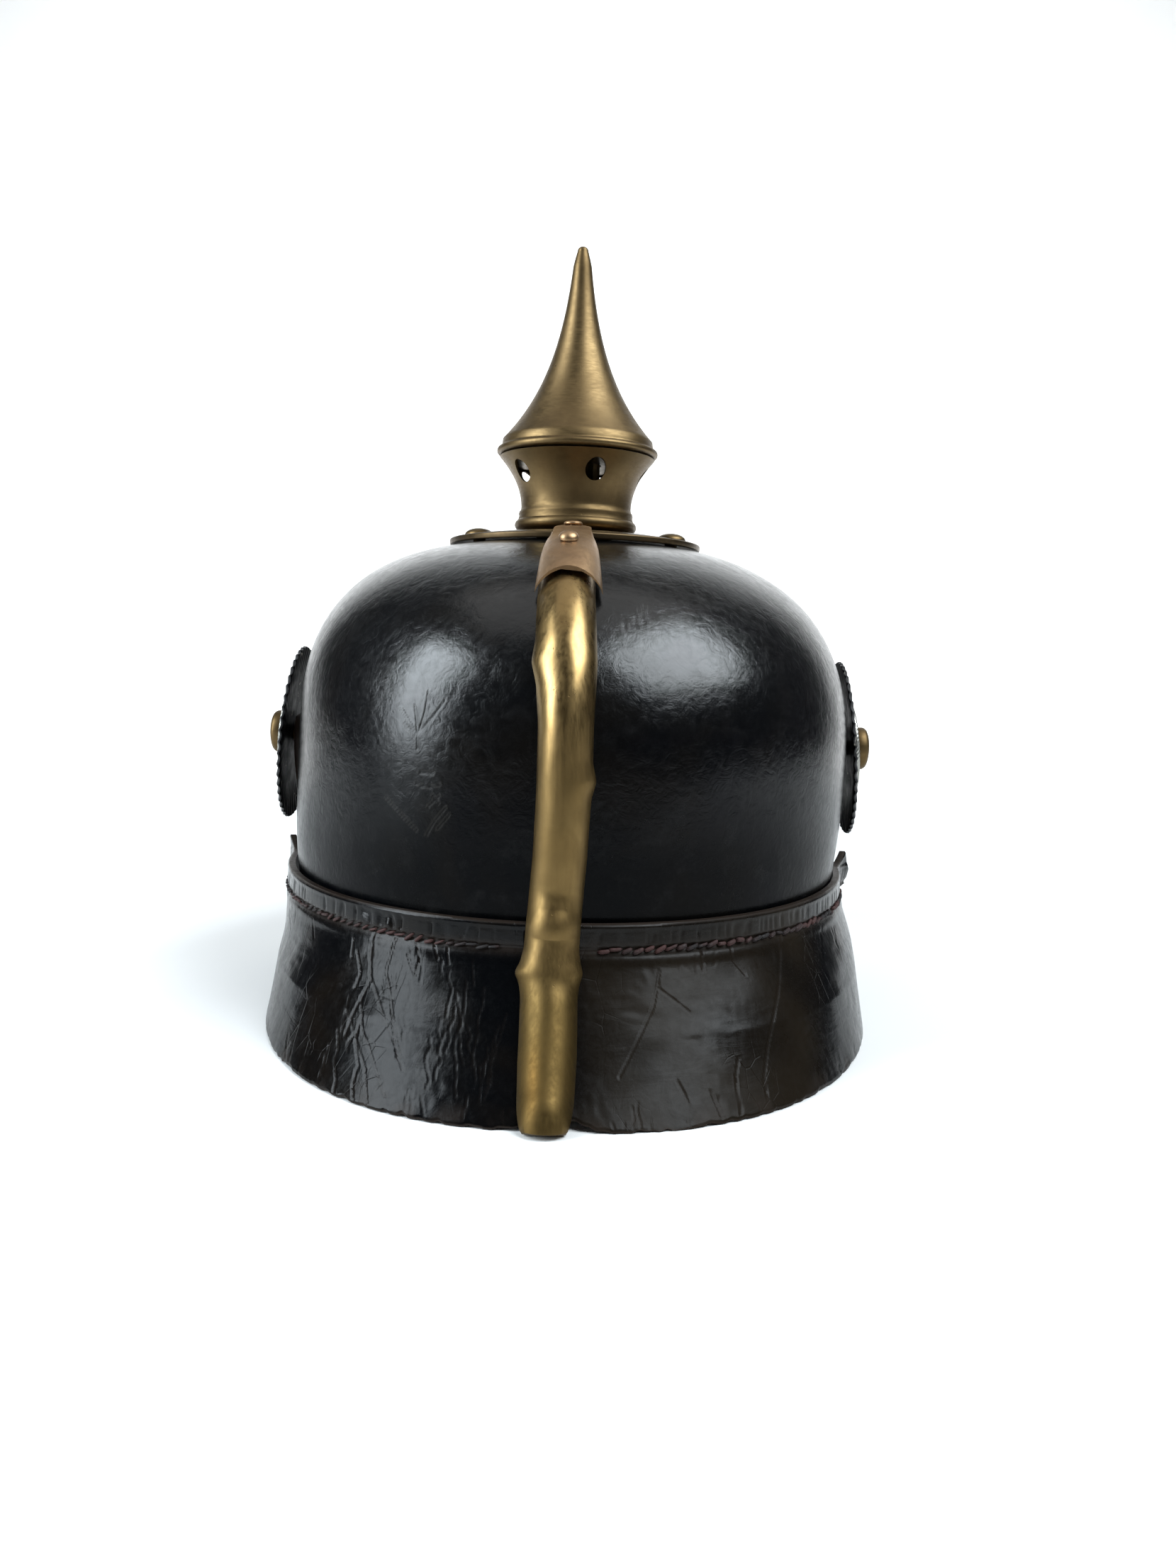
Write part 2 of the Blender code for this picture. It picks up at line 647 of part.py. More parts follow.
def build_studs():
    """Three domed studs, and a washer inside the crown for all four places."""
    for name, (x, y) in zip(("left", "right", "front", "rear"), STUD_PLACES):
        inside = skull_top(0 if x == 0 else 41.0, 41.0 if x == 0 else 0, -SKULL_THICKNESS)
        top = inside - GAP
        add_piece("stud_washer_" + name,
                  turned(washer_outline(STUD_SHANK_RADIUS + GAP, 6.5, top - 1.6, top), 12,
                         (x, y, 0)), "steel")
        if name != "rear":
            seat = plate_top(STUD_CIRCLE - STUD_HEAD_RADIUS) + GAP
            shank = seat - top + 3.5
            add_piece("stud_" + name,
                      turned(dome_outline(STUD_HEAD_RADIUS, STUD_HEAD_HEIGHT,
                                          STUD_SHANK_RADIUS, shank), 16, (x, y, seat)),
                      "aged_brass")
    top = skull_top(26.0, 0, -SKULL_THICKNESS) - 3 * GAP
    add_piece("crown_disc", turned(washer_outline(CROWN_VENT_RADIUS, 26.0, top - 2, top), 28),
              "strap_leather")


def neck_radius(z):
    return NECK_WAIST_RADIUS + NECK_FLARE * (z - NECK_WAIST_Z) ** 2


def build_neck():
    """Fluted cup under the spike, with a bead at its foot and a ring of air holes."""
    bead = [(20.0, NECK_FOOT_Z), (21.0, 162.2), (21.4, 164.6), (20.9, 166.8), (19.7, 168.3)]
    flare = [171.5, 176.0, 180.4, 184.0, NECK_TOP_Z]
    outer = bead + [(neck_radius(z), z) for z in flare]
    bridge_top = NECK_BRIDGE_Z + NECK_BRIDGE
    bridge = [(neck_radius(NECK_TOP_Z) - NECK_WALL, NECK_TOP_Z),
              (neck_radius(bridge_top) - NECK_WALL, bridge_top),
              (BUSH_RADIUS + GAP, bridge_top), (BUSH_RADIUS + GAP, NECK_BRIDGE_Z)]
    inner = [(neck_radius(z) - NECK_WALL, z)
             for z in (NECK_BRIDGE_Z, 180.4, 174.0)]
    foot = [(18.5, NECK_WAIST_Z), (19.0, NECK_FOOT_Z)]
    neck = add_piece("spike_neck", turned(outer + bridge + inner + foot, 32), "aged_brass")
    holes = []
    for index in range(VENT_COUNT):
        turn = radians(VENT_FIRST_ANGLE + index * 360 / VENT_COUNT)
        aim = Vector((cos(turn), sin(turn), 0))
        holes.append((aim * neck_radius(VENT_Z) + Vector((0, 0, VENT_Z)), aim,
                      VENT_RADIUS, 14))
    drill(neck, holes, segments=14)
    bush = washer_outline(STEM_RADIUS + GAP, BUSH_RADIUS, NECK_BRIDGE_Z - 6,
                          NECK_BRIDGE_Z + NECK_BRIDGE)
    add_piece("neck_bush", turned(bush, 24), "aged_brass")


def cone_radius(z):
    return CONE_START_RADIUS * exp(-(z - CONE_START_Z) / CONE_TAPER)


def build_spike():
    """Hollow cone with a threaded stem that screws into the neck's bush."""
    rim = [(STEM_RADIUS + GAP, CONE_FOOT_Z), (27.0, CONE_FOOT_Z), (28.0, CONE_FOOT_Z + 0.6),
           (CONE_RIM_RADIUS, CONE_FOOT_Z + 1.6), (28.0, CONE_FOOT_Z + 2.7),
           (26.9, CONE_FOOT_Z + 3.8)]
    side = [(cone_radius(z), z) for z in (194, 199, 205, 213, 223, 236, 250)]
    tip = [(2.7, 256.0), (1.6, 258.2), (0.0, CONE_TIP_Z)]
    inner = [(0.0, 240.0)] + [(cone_radius(z) - CONE_WALL, z)
                              for z in (225, 207, 196)]
    floor = [(24.0, CONE_FOOT_Z + 3.6), (24.0, CONE_FOOT_Z + CONE_WALL),
             (STEM_RADIUS + GAP, CONE_FOOT_Z + CONE_WALL)]
    add_piece("spike_cone", turned(rim + side + tip + inner + floor, 32), "aged_brass")
    head = CONE_FOOT_Z + CONE_WALL + GAP
    stem = [(0.0, 176.0), (STEM_RADIUS - 1, 176.0), (STEM_RADIUS, 177.0),
            (STEM_RADIUS, head), (9.0, head), (9.0, head + 2.0), (0.0, head + 2.0)]
    add_piece("spike_stem", turned(stem, 24), "aged_brass")


# ---------------------------------------------------------------- cockades

def build_cockades():
    """Fluted disc, corded ring, scalloped washer and domed screw on each side post."""
    ring_x = COCKADE_RING_RADIUS
    disc = [(SHANK_RADIUS + 0.7, 3.2), (9.0, 3.2), (13.0, 3.6), (18.5, 3.6), (24.0, 2.5),
            (COCKADE_RADIUS - 0.8, 1.0), (COCKADE_RADIUS, 0.2), (23.0, 0.9), (17.0, 1.9),
            (SHANK_RADIUS + 0.7, 1.7)]
    ring = [(ring_x - 1.5, 4.0), (ring_x + 1.5, 4.0), (ring_x + 1.1, 5.0), (ring_x, 5.4),
            (ring_x - 1.1, 5.0)]
    washer = washer_outline(SHANK_RADIUS + 0.7, BOSS_RADIUS + 1.2, 3.6, 4.6)
    for name, side in (("left", 1), ("right", -1)):
        place = Vector((side * COCKADE_SEAT_X, 0, POST_Z))
        tilt = radians(COCKADE_TILT)
        aim = Vector((side * cos(tilt), 0, sin(tilt)))
        add_piece("cockade_" + name, turned(disc, 24, place, aim), "black_enamel")
        add_piece("cockade_ring_" + name, turned(ring, 20, place, aim), "silver")
        add_piece("cockade_washer_" + name, turned(washer, 16, place, aim), "silver")
        outward = Vector((side, 0, 0))
        head = place + outward * 6.4
        reach = head.x * side - COCKADE_NUT_X + 3
        add_piece("side_screw_" + name,
                  turned(dome_outline(BOSS_RADIUS, 3.2, SHANK_RADIUS, reach), 24, head,
                         outward), "aged_brass")
        nut = washer_outline(SHANK_RADIUS + GAP, 8.0, -2.0, 0.0)
        add_piece("side_nut_" + name,
                  turned(nut, 16, (side * COCKADE_NUT_X, 0, POST_Z), outward), "steel")


# ---------------------------------------------------------------- chin strap

def strap_centre(turn, side, layer):
    """Middle of the strap's thickness; turn 0 is at the post and 1 at the front."""
    angle = turn * pi / 2
    grow = STRAP_THICKNESS / 2 + layer
    x = (STRAP_HALF_WIDTH - 1.2 + grow) * cos(angle)
    y = -(STRAP_REACH - 1.2 + grow) * sin(angle)
    forward = min(-y / STRAP_DROP_END, 1.0)
    drop = (POST_Z - STRAP_FRONT_Z) * sqrt(max(0.0, 1 - (1 - forward) ** 3))
    return Vector((side * x, y, POST_Z - drop))


def strap_rings(side, last_turn, lifted):
    """Cross-sections from the post to past the front; lifted crosses the other half."""
    turns = [0.0, 0.004, 0.012, 0.03, 0.06, 0.1, 0.15, 0.2, 0.25, 0.31, 0.38, 0.45, 0.52,
             0.59, 0.66]
    turns += [0.66 + (last_turn - 0.66) * step / 14 for step in range(1, 15)]
    rings = []
    for turn in turns:
        share = min(max((turn - 0.66) / 0.1, 0.0), 1.0)
        layer = STRAP_LAYER * share ** 2 * (3 - 2 * share) if lifted else 0.0
        middle = strap_centre(turn, side, layer)
        ahead = strap_centre(turn + 0.002, side, layer)
        along = (ahead - middle).normalized()
        outward = Vector((middle.x / STRAP_HALF_WIDTH ** 2, middle.y / STRAP_REACH ** 2, 0))
        outward = (outward - along * outward.dot(along)).normalized()
        across = along.cross(outward).normalized()
        wide = across * (STRAP_WIDTH / 2)
        thick = outward * (STRAP_THICKNESS / 2)
        rings.append([middle + wide + thick, middle - wide + thick,
                      middle - wide - thick, middle + wide - thick])
    return rings


def build_strap():
    post = (0.0, 0.0, POST_Z)
    pivot = add_pivot("chin_strap_pivot", post)
    past_front = 1 + STRAP_OVERLAP / (STRAP_HALF_WIDTH * pi / 2)
    for name, side, lifted in (("left", 1, True), ("right", -1, False)):
        rings = strap_rings(side, past_front, lifted)
        tab = [point + Vector((0, 0, STRAP_TAB)) for point in rings[0]]
        rings = [tab] + rings
        half = add_piece("chin_strap_" + name, bridge_rings(rings, closed=False),
                         "strap_leather", origin=post, parent=pivot)
        drill(half, [((side * STRAP_HALF_WIDTH, 0, POST_Z), (1, 0, 0),
                      SHANK_RADIUS + GAP, 12)])
    for name, side in (("left", 1), ("right", -1)):
        build_buckle(name, side, pivot)


def strap_curvature_centre(x):
    """Centre of the circle that best fits the strap's plan near the front."""
    half_x, half_y = STRAP_HALF_WIDTH, STRAP_REACH
    turn = pi / 2 - x / half_x
    x0, y0 = half_x * cos(turn), -half_y * sin(turn)
    radius = ((half_x * sin(turn)) ** 2 + (half_y * cos(turn)) ** 2) ** 1.5 \
        / (half_x * half_y)
    normal = Vector((x0 / half_x ** 2, y0 / half_y ** 2, 0)).normalized()
    return Vector((x0, y0, STRAP_FRONT_Z)), normal, radius


def build_buckle(name, side, strap_pivot):
    """Rectangular slide that holds both layers of the strap."""
    middle, normal, radius = strap_curvature_centre(BUCKLE_X * side)
    centre = middle - normal * radius
    along = Vector((-normal.y, normal.x, 0))
    middle = middle + normal * (STRAP_LAYER / 2)
    thick = (STRAP_LAYER + STRAP_THICKNESS) / 2 + 0.8
    high = STRAP_WIDTH / 2 + 0.7
    bar = 1.2
    rings = []
    for shift, grow in ((-1, 0), (-1, bar), (1, bar), (1, 0)):
        spot = middle + along * (shift * BUCKLE_LENGTH / 2)
        rings.append([spot + normal * (a * (thick + grow)) + Vector((0, 0, b * (high + grow)))
                      for a, b in ((1, 1), (1, -1), (-1, -1), (-1, 1))])
    add_piece("strap_buckle_" + name, bridge_rings(rings, closed=True), "aged_brass",
              origin=centre, parent=strap_pivot, smooth=False)


# ---------------------------------------------------------------- front plate

def shield_half_width(share):
    """Half width of the shield from its point (0) to its top (1)."""
    return 4.0 + 33.0 * sin(min(share * 1.25, 1.0) * pi / 2) ** 0.8 - 4.0 * max(share - 0.8, 0)


def build_shield():
    rows = []
    for step in range(9):
        share = step / 8
        z = SHIELD_LOW_Z + (SHIELD_HIGH_Z - SHIELD_LOW_Z) * share
        row = []
        for index in range(9):
            side = index / 4 - 1
            x = side * shield_half_width(share)
            rise = 0.8 * (1 - abs(side)) if 0 < step < 8 else 0.0
            row.append(tuple(skull_front(x, z, 1.3 + rise)))
        rows.append(row)
    shield = add_piece("front_plate", sheet_mesh(rows), "bright_brass")
    solidify(shield, SHIELD_SHEET, 1.0)
    holes = []
    for name, side in (("left", 1), ("right", -1)):
        x, z = side * SHIELD_SCREW_X, SHIELD_SCREW_Z
        aim = front_normal(x, z)
        middle = skull_front(x, z)
        holes.append((middle, aim, SHIELD_SHANK + GAP, 14))
        head = middle + aim * 3.4
        add_piece("plate_screw_" + name,
                  turned(dome_outline(3.2, 1.8, SHIELD_SHANK, 10.5), 12, head, aim),
                  "bright_brass")
        nut = washer_outline(SHIELD_SHANK + GAP, 4.6, -1.8, 0.0)
        seat = middle - aim * (SKULL_THICKNESS + 1.8)
        add_piece("plate_nut_" + name, turned(nut, 12, seat, aim), "steel")
    drill(shield, holes)


# ---------------------------------------------------------------- liner

def build_liner():
    turns = [2 * pi * index / SKULL_SEGMENTS for index in range(SKULL_SEGMENTS)]
    heights = (BAND_LOW_Z, 57.0, BAND_HIGH_Z)
    outer = -SKULL_THICKNESS - GAP
    rings = [[skull_point(turn, z, outer) for turn in turns] for z in heights]
    rings += [[skull_point(turn, z, outer - LINER_SHEET) for turn in turns]
              for z in reversed(heights)]
    add_piece("sweatband", bridge_rings(rings, closed=True), "liner_leather")
    build_liner_fingers()


def finger_offset(z):
    """The fingers leave the sweatband and lean in under the crown."""
    share = (z - BAND_LOW_Z) / (LINER_TOP_Z - BAND_LOW_Z)
    clear = SKULL_THICKNESS + GAP + 1.5 * LINER_SHEET + LINER_SLACK
    return -clear - FINGER_LEAN * sin(min(share * 2, 1) * pi / 2)


def build_liner_fingers():
    """Leather crown cut into fingers that a lace would draw together."""
    per_finger = 6
    columns = LINER_FINGERS * per_finger
    band = [BAND_LOW_Z + 1, 62.0, 84.0]
    fingers = [98.0, 111.0, 122.0, LINER_TOP_Z]
    rows = []
    for z in band + fingers:
        row = []
        for column in range(columns + 1):
            slot = column % per_finger
            narrowing = max(0.0, (z - band[-1]) / (LINER_TOP_Z - band[-1]))
            middle = (column // per_finger + 0.5) * per_finger
            shift = (column - middle) * (1 - 0.35 * narrowing)
            if z > band[-1] and slot == 0:
                row.append(None)
                continue
            turn = 2 * pi * ((middle + shift) if z > band[-1] else column) / columns
            row.append(skull_point(turn, z, finger_offset(z)))
        rows.append(row)
    bm = sheet_mesh(rows)
    bmesh.ops.remove_doubles(bm, verts=bm.verts, dist=1e-3)
    bmesh.ops.recalc_face_normals(bm, faces=bm.faces)
    liner = add_piece("liner_fingers", bm, "liner_leather")
    solidify(liner, LINER_SHEET, 0.0)


clear_scene()
MATERIALS = make_materials()
build_skull()
build_brims()
build_visor_trim()
build_threads()
build_spine()
build_clip()
build_base_plate()
build_studs()
build_neck()
build_spike()
build_cockades()
build_strap()
build_shield()
build_liner()
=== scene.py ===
"""Looks of the spiked leather helmet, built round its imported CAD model.

Sizes are in millimetres and meshes are stored in metres, in the CAD's own frame: the
visor faces -Y, the neck guard and spine face +Y, and the wearer's left is +X.
"""
from math import cos, exp, pi, radians, sin, sqrt

import bmesh
import bpy
import numpy as np
from mathutils import Matrix, Vector


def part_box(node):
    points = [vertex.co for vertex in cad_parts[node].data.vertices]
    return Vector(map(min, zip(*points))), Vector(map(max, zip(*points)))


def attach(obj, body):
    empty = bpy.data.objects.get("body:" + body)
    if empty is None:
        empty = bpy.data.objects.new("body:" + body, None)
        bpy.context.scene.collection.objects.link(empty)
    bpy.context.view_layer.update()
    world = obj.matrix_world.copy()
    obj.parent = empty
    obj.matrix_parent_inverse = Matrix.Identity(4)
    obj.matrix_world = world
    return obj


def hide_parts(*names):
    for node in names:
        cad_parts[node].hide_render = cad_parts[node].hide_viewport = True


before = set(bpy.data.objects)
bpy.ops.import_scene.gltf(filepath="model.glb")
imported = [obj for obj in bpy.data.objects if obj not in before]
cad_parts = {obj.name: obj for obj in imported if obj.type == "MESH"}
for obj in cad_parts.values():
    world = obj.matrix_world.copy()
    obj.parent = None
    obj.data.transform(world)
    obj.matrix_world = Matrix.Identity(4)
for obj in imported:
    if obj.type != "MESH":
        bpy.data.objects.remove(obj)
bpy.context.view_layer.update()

MM = 0.001
SIDES = (("left", 1), ("right", -1))

# Skull, read from the frame; its curve's powers are the CAD's.
SKULL_LOW, SKULL_HIGH = (np.array(corner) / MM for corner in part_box("skull"))
HALF_WIDTH, HALF_LENGTH, RIM_Z = SKULL_HIGH[0], SKULL_HIGH[1], SKULL_LOW[2]
WIDEST_Z = 77.0
SKULL_RISE = 80.4
SKULL_POWER = 2.95
PLAN_POWER = 2.05
RIM_TUCK = 0.03
SKULL_THICKNESS = 3.0
VENT_SHARE = 12.0
SKULL_BULGE = 1.8            # how far the back stands off centre

# Brims.
GAP = 0.4
LEATHER = 2.6
FLARE_LEATHER = 3.2
LAP_TOP_Z = 46.5
LAP_STEP = 1.4
STITCH_Z = RIM_Z + 1.6
GUARD = {"half_width": 101.5, "reach": 147.0, "power": 2.3, "end_angle": 2.0,
         "middle": 90.0, "corner": 34.0, "edge_z": 0.0, "lip": 3.0, "notch": 2.3,
         "horn": 1.0, "flat": 8.0, "crowding": 1.22, "ragged": 0.35}
VISOR = {"half_width": 101.0, "reach": 152.9, "power": 2.15, "end_angle": 12.0,
         "middle": 270.0, "corner": 46.0, "edge_z": 3.8, "lip": 2.0, "notch": 0.0,
         "horn": 0.0, "flat": 0.0, "crowding": 1.0, "ragged": 0.0}
HORN_RISE, HORN_SPREAD, HORN_LENGTH = 4.0, 3.2, 12.0
GUARD_LEAN = 2.0             # how far the guard stands towards -X
HORN_STAND = 2.6             # how much further its -X horn stands out
STITCH_PITCH, SEAM_RADIUS = 3.3, 102.0
GROOVE_WIDTH = 0.75          # of the groove that the stitches lie in

# Spine: half widths on the +X and -X sides and sway, as (height, size).
SPINE_HALF_LEFT = ((0, 6.9), (5, 7.3), (14, 7.7), (28, 7.7), (31, 8.1), (34, 9.5),
                   (36.5, 8.2), (40, 7.5), (56, 7.4), (75, 7.3), (85, 7.4), (99, 7.5),
                   (110, 8.2), (116, 9.6), (122, 8.6), (136, 8.2), (150, 7.8))
SPINE_HALF_RIGHT = ((0, 6.9), (5, 7.3), (14, 7.7), (28, 7.7), (31, 8.0), (34, 9.1),
                    (36.5, 8.2), (40, 7.5), (56, 7.4), (75, 7.5), (80, 7.6), (85, 8.7),
                    (90, 7.6), (99, 7.5), (116, 8.4), (136, 8.2), (150, 7.8))
SPINE_SWAY = ((0, 0.4), (17, 0.5), (34, 0.9), (46, 0.3), (65, -0.9), (84, -1.5), (99, -1.6),
              (116, -1.2), (134, -0.2), (145, 0.0))
SPINE_ARC, SPINE_HEIGHT, SPINE_SHEET = 70.0, 6.2, 0.9

# Clip.
CLIP_TOP_Y, CLIP_FOOT_Y, CLIP_RIVET_Y = 27.0, 91.0, 78.0
CLIP_SHEET = 1.0
CLIP_NARROW, CLIP_WIDENING = 12.0, 6.6       # width at its top, and what its foot adds
CLIP_TIP_END, CLIP_TIP = 33.0, 6.1           # the rounded top ends here, and its length
CLIP_CLIMB_START, CLIP_CLIMB = 52.0, 32.0    # where it climbs onto the spine
CLIP_CRIMP_Y, CLIP_FLARE_Y = 45.0, 40.0

# Plate, neck and spike.
PLATE_RADIUS, PLATE_BORE = 43.8, 14.0
PLATE_CENTRE_Z, PLATE_EDGE_Z = 160.2, 157.2
PLATE_SHEET = 0.9
STUD_CIRCLE = 34.0
NECK_FOOT_Z, NECK_TOP_Z = 160.7, 186.8
NECK_WAIST_Z, NECK_WAIST_RADIUS, NECK_FLARE = 169.2, 19.4, 0.0256
NECK_WALL = 0.9
NECK_BRIDGE_Z = 184.6
BUSH_RADIUS = 8.0
STEM_RADIUS = 5.0
VENT_RADIUS, VENT_COUNT, VENT_Z, VENT_FIRST = 3.6, 5, 180.4, 107.5
CONE_FOOT_Z, CONE_RIM_RADIUS = 187.2, 28.3
CONE_START_Z, CONE_START_RADIUS, CONE_TAPER = 191.3, 27.6, 28.3
CONE_WALL = 1.4
CONE_NECK_Z, TIP_RADIUS = 252.0, 1.9

# Cockades.
POST_Z = 87.5
COCKADE_SEAT_X = 98.1
COCKADE_RADIUS, FLUTE_START = 31.0, 17.5
COCKADE_TILT = radians(5.0)
COCKADE_TURN = 0.05          # its rear edge sits closer to the skull
CORD_RADIUS, CORD_HEIGHT = 15.5, 3.3
BOSS_RADIUS = 7.6
SHANK_RADIUS = 2.9

# Chin strap.
STRAP_WIDTH, STRAP_THICKNESS = 16.0, 2.4
STRAP_HALF_WIDTH, STRAP_REACH = 97.0, 125.4
STRAP_FRONT_Z, STRAP_DROP_END = 57.4, 44.0
STRAP_OVERLAP, STRAP_LAYER, STRAP_TAB = 38.0, 3.0, 6.5
STRAP_LIFT_TURN = 0.66       # where the outer half starts to lift over the other
BUCKLE_X, BUCKLE_LENGTH, BUCKLE_CORNER = 26.0, 8.0, 0.5
CORNERS = ((1, 1, 0), (-1, 1, 90), (-1, -1, 180), (1, -1, 270))

# Front plate and liner.
SHIELD_LOW_Z, SHIELD_HIGH_Z, SHIELD_BOSS_Z = 63.0, 141.0, 104.0
SHIELD_SCREW_X, SHIELD_SCREW_Z = 25.0, 112.0
SHIELD_RAYS = 12
BAND_LOW_Z, BAND_HIGH_Z = 42.0, 72.0
LINER_SHEET, LINER_FINGERS, FINGER_ROOT_Z, LINER_TOP_Z = 1.5, 9, 84.0, 131.0
LINER_SLACK, FINGER_LEAN = 0.7, 7.0


# ---------------------------------------------------------------- materials

class Look:
    """A material's node tree, with short calls for the nodes the finishes use."""

    def __init__(self, name, metallic=0.0, coat=0.0, coat_roughness=0.2, specular=0.5):
        self.material = bpy.data.materials.new(name)
        self.material.use_nodes = True
        self.tree = self.material.node_tree
        self.shader = self.tree.nodes["Principled BSDF"]
        self.shade("Metallic", metallic)
        self.shade("Coat Weight", coat)
        self.shade("Coat Roughness", coat_roughness)
        self.shade("Specular IOR Level", specular)
        self.place = self.node("ShaderNodeTexCoord").outputs["Object"]

    def feed(self, socket, value):
        """Give a socket a constant or another node's output."""
        if isinstance(value, bpy.types.NodeSocket):
            self.tree.links.new(value, socket)
        else:
            socket.default_value = (*value, 1.0) if socket.type == "RGBA" else value

    def shade(self, label, value):
        self.feed(self.shader.inputs[label], value)

    def shaded(self, label):
        """The output that feeds one of the shader's sockets."""
        return self.shader.inputs[label].links[0].from_socket

    def node(self, kind, inputs=None, **settings):
        made = self.tree.nodes.new(kind)
        for name, value in settings.items():
            setattr(made, name, value)
        for socket, value in (inputs or {}).items():
            self.feed(made.inputs[socket], value)
        return made

    def stretched(self, stretch):
        """Object coordinates; detail is stretched along the axes with small factors."""
        if not stretch:
            return self.place
        scaled = {"Scale": stretch, "Vector": self.place}
        return self.node("ShaderNodeMapping", scaled).outputs["Vector"]

    def noise(self, size, detail=4.0, rough=0.55, warp=0.0, stretch=None):
        """Noise whose blobs are about size millimetres across."""
        return self.node("ShaderNodeTexNoise", {
            "Scale": 0.5 / (size * MM), "Detail": detail, "Roughness": rough,
            "Distortion": warp, "Vector": self.stretched(stretch)}).outputs["Fac"]

    def cells(self, size, feature, stretch=None):
        return self.node("ShaderNodeTexVoronoi", {
            "Scale": 1.0 / (size * MM), "Vector": self.stretched(stretch)},
            feature=feature).outputs["Distance"]

    def painted(self, name):
        """A value stored on the mesh's points."""
        return self.node("ShaderNodeAttribute", attribute_name=name).outputs["Fac"]

    def axis(self, name):
        """One object coordinate, in metres."""
        return self.node("ShaderNodeSeparateXYZ", {"Vector": self.place}).outputs[name]

    def fit(self, value, low, high, to_low=0.0, to_high=1.0):
        return self.node("ShaderNodeMapRange", {
            "Value": value, "From Min": low, "From Max": high, "To Min": to_low,
            "To Max": to_high}, interpolation_type="SMOOTHSTEP").outputs["Result"]

    def maths(self, operation, first, second):
        made = self.node("ShaderNodeMath", {0: first, 1: second}, operation=operation)
        return made.outputs["Value"]

    def times(self, first, second):
        return self.maths("MULTIPLY", first, second)

    def blend(self, share, first, second):
        """Mix two colours, each a triple or another node's output."""
        mix = {"Factor": share, 6: first, 7: second}
        return self.node("ShaderNodeMix", mix, data_type="RGBA").outputs[2]

    def finish(self, colour, roughness, *layers):
        """Set colour, roughness and bumps, given as (height, depth in millimetres)."""
        self.shade("Base Color", colour)
        self.shade("Roughness", roughness)
        normal = {}
        for height, depth in layers:
            bump = {"Distance": depth * MM, "Height": height, **normal}
            normal = {"Normal": self.node("ShaderNodeBump", bump).outputs["Normal"]}
        self.shade("Normal", normal["Normal"])
        return self.material


def skull_leather():
    look = Look("polished_black_leather", coat=0.04)
    look.shade("Specular IOR Level", look.fit(look.axis("Z"), 0.055, 0.135, 0.03, 0.44))
    patches = look.fit(look.noise(26, 3, 0.6, 0.4), 0.42, 0.68)
    rub = look.fit(look.noise(5, 6, 0.7), 0.5, 0.75)
    tone = look.blend(patches, (0.0012, 0.0015, 0.0020), (0.0030, 0.0026, 0.0022))
    tone = look.blend(rub, tone, (0.006, 0.006, 0.0062))
    tone = look.blend(look.painted("wear"), tone, (0.02, 0.018, 0.016))
    fibres = look.noise(2.2, 5, 0.65, 1.6)
    shine = look.maths("ADD", look.fit(fibres, 0.3, 0.7, 0.17, 0.27),
                       look.fit(look.painted("wear"), 0.0, 1.0, 0.0, 0.35))
    scratches = look.fit(look.noise(1.0, 2, 0.4, 0.8, stretch=(1.0, 1.0, 0.12)), 0.66, 0.8)
    return look.finish(tone, shine, (look.noise(7.0, 3, 0.5), 0.16), (fibres, 0.12),
                       (look.noise(0.8, 3, 0.6), 0.045), (scratches, -0.012))


def brim_leather(name, age):
    """Glossy leather that is crazed and wrinkled as it ages."""
    look = Look(name, coat=0.05, coat_roughness=0.14)
    gloss = look.fit(look.axis("Z"), 0.0355, 0.0395, 0.085, 0.13)
    look.shade("Specular IOR Level",
               look.maths("SUBTRACT", gloss, look.times(look.painted("dull"), 0.03)))
    patches = look.fit(look.noise(22, 3, 0.6, 0.6), 0.4, 0.7)
    worn = look.painted("wear")
    tone = look.blend(patches, (0.0012, 0.0014, 0.0018), (0.0044, 0.0032, 0.0023))
    # Brown tint where dull is painted, on the guard's -X side: a painted sheen. The rougher,
    # less glossy finish there belongs to the leather.
    tone = look.blend(look.painted("dull"), tone, (0.010, 0.0072, 0.0045))
    tone = look.blend(worn, tone, (0.024, 0.017, 0.013))
    pores = look.noise(1.2, 5, 0.65, 1.0)
    shine = look.fit(pores, 0.3, 0.72, 0.15, 0.28)
    shine = look.maths("ADD", shine, look.times(look.painted("dull"), 0.16))
    shine = look.maths("ADD", shine, look.times(worn, 0.3))
    creases = look.noise(2.6, 4, 0.6, 0.5, stretch=(1.0, 1.0, 0.13))
    ripples = look.noise(2.4, 4, 0.55, 0.8, stretch=(0.28, 0.28, 1.0))
    crazing = look.cells(5.2, "DISTANCE_TO_EDGE", stretch=(1.0, 1.0, 0.3))
    lines = look.fit(crazing, 0.0, 0.035, 1.0, 0.0)
    zone = look.fit(look.noise(17, 2, 0.5, 0.4), 0.52, 0.66)
    return look.finish(tone, shine, (look.noise(9.0, 2, 0.5), 0.18), (creases, 0.10 * age),
                       (ripples, 0.14 * age), (look.times(lines, zone), -0.05 * age),
                       (pores, 0.02))


def soft_leather(name, dark, light, roughness, grain):
    """Unpolished leather for the strap and liner."""
    look = Look(name, specular=0.4)
    patches = look.fit(look.noise(14, 4, 0.65, 0.5), 0.35, 0.7)
    spots = look.fit(look.noise(2.4, 5, 0.7), 0.55, 0.8)
    tone = look.blend(patches, dark, light)
    tone = look.blend(spots, tone, tuple(value * 0.55 for value in dark))
    pebbles = look.cells(grain, "SMOOTH_F1")
    fibres = look.noise(1.0, 5, 0.7, 1.0)
    shine = look.fit(fibres, 0.3, 0.7, roughness - 0.08, roughness + 0.1)
    return look.finish(tone, shine, (look.noise(6.0, 3, 0.5), 0.3), (pebbles, -0.14),
                       (fibres, 0.08))


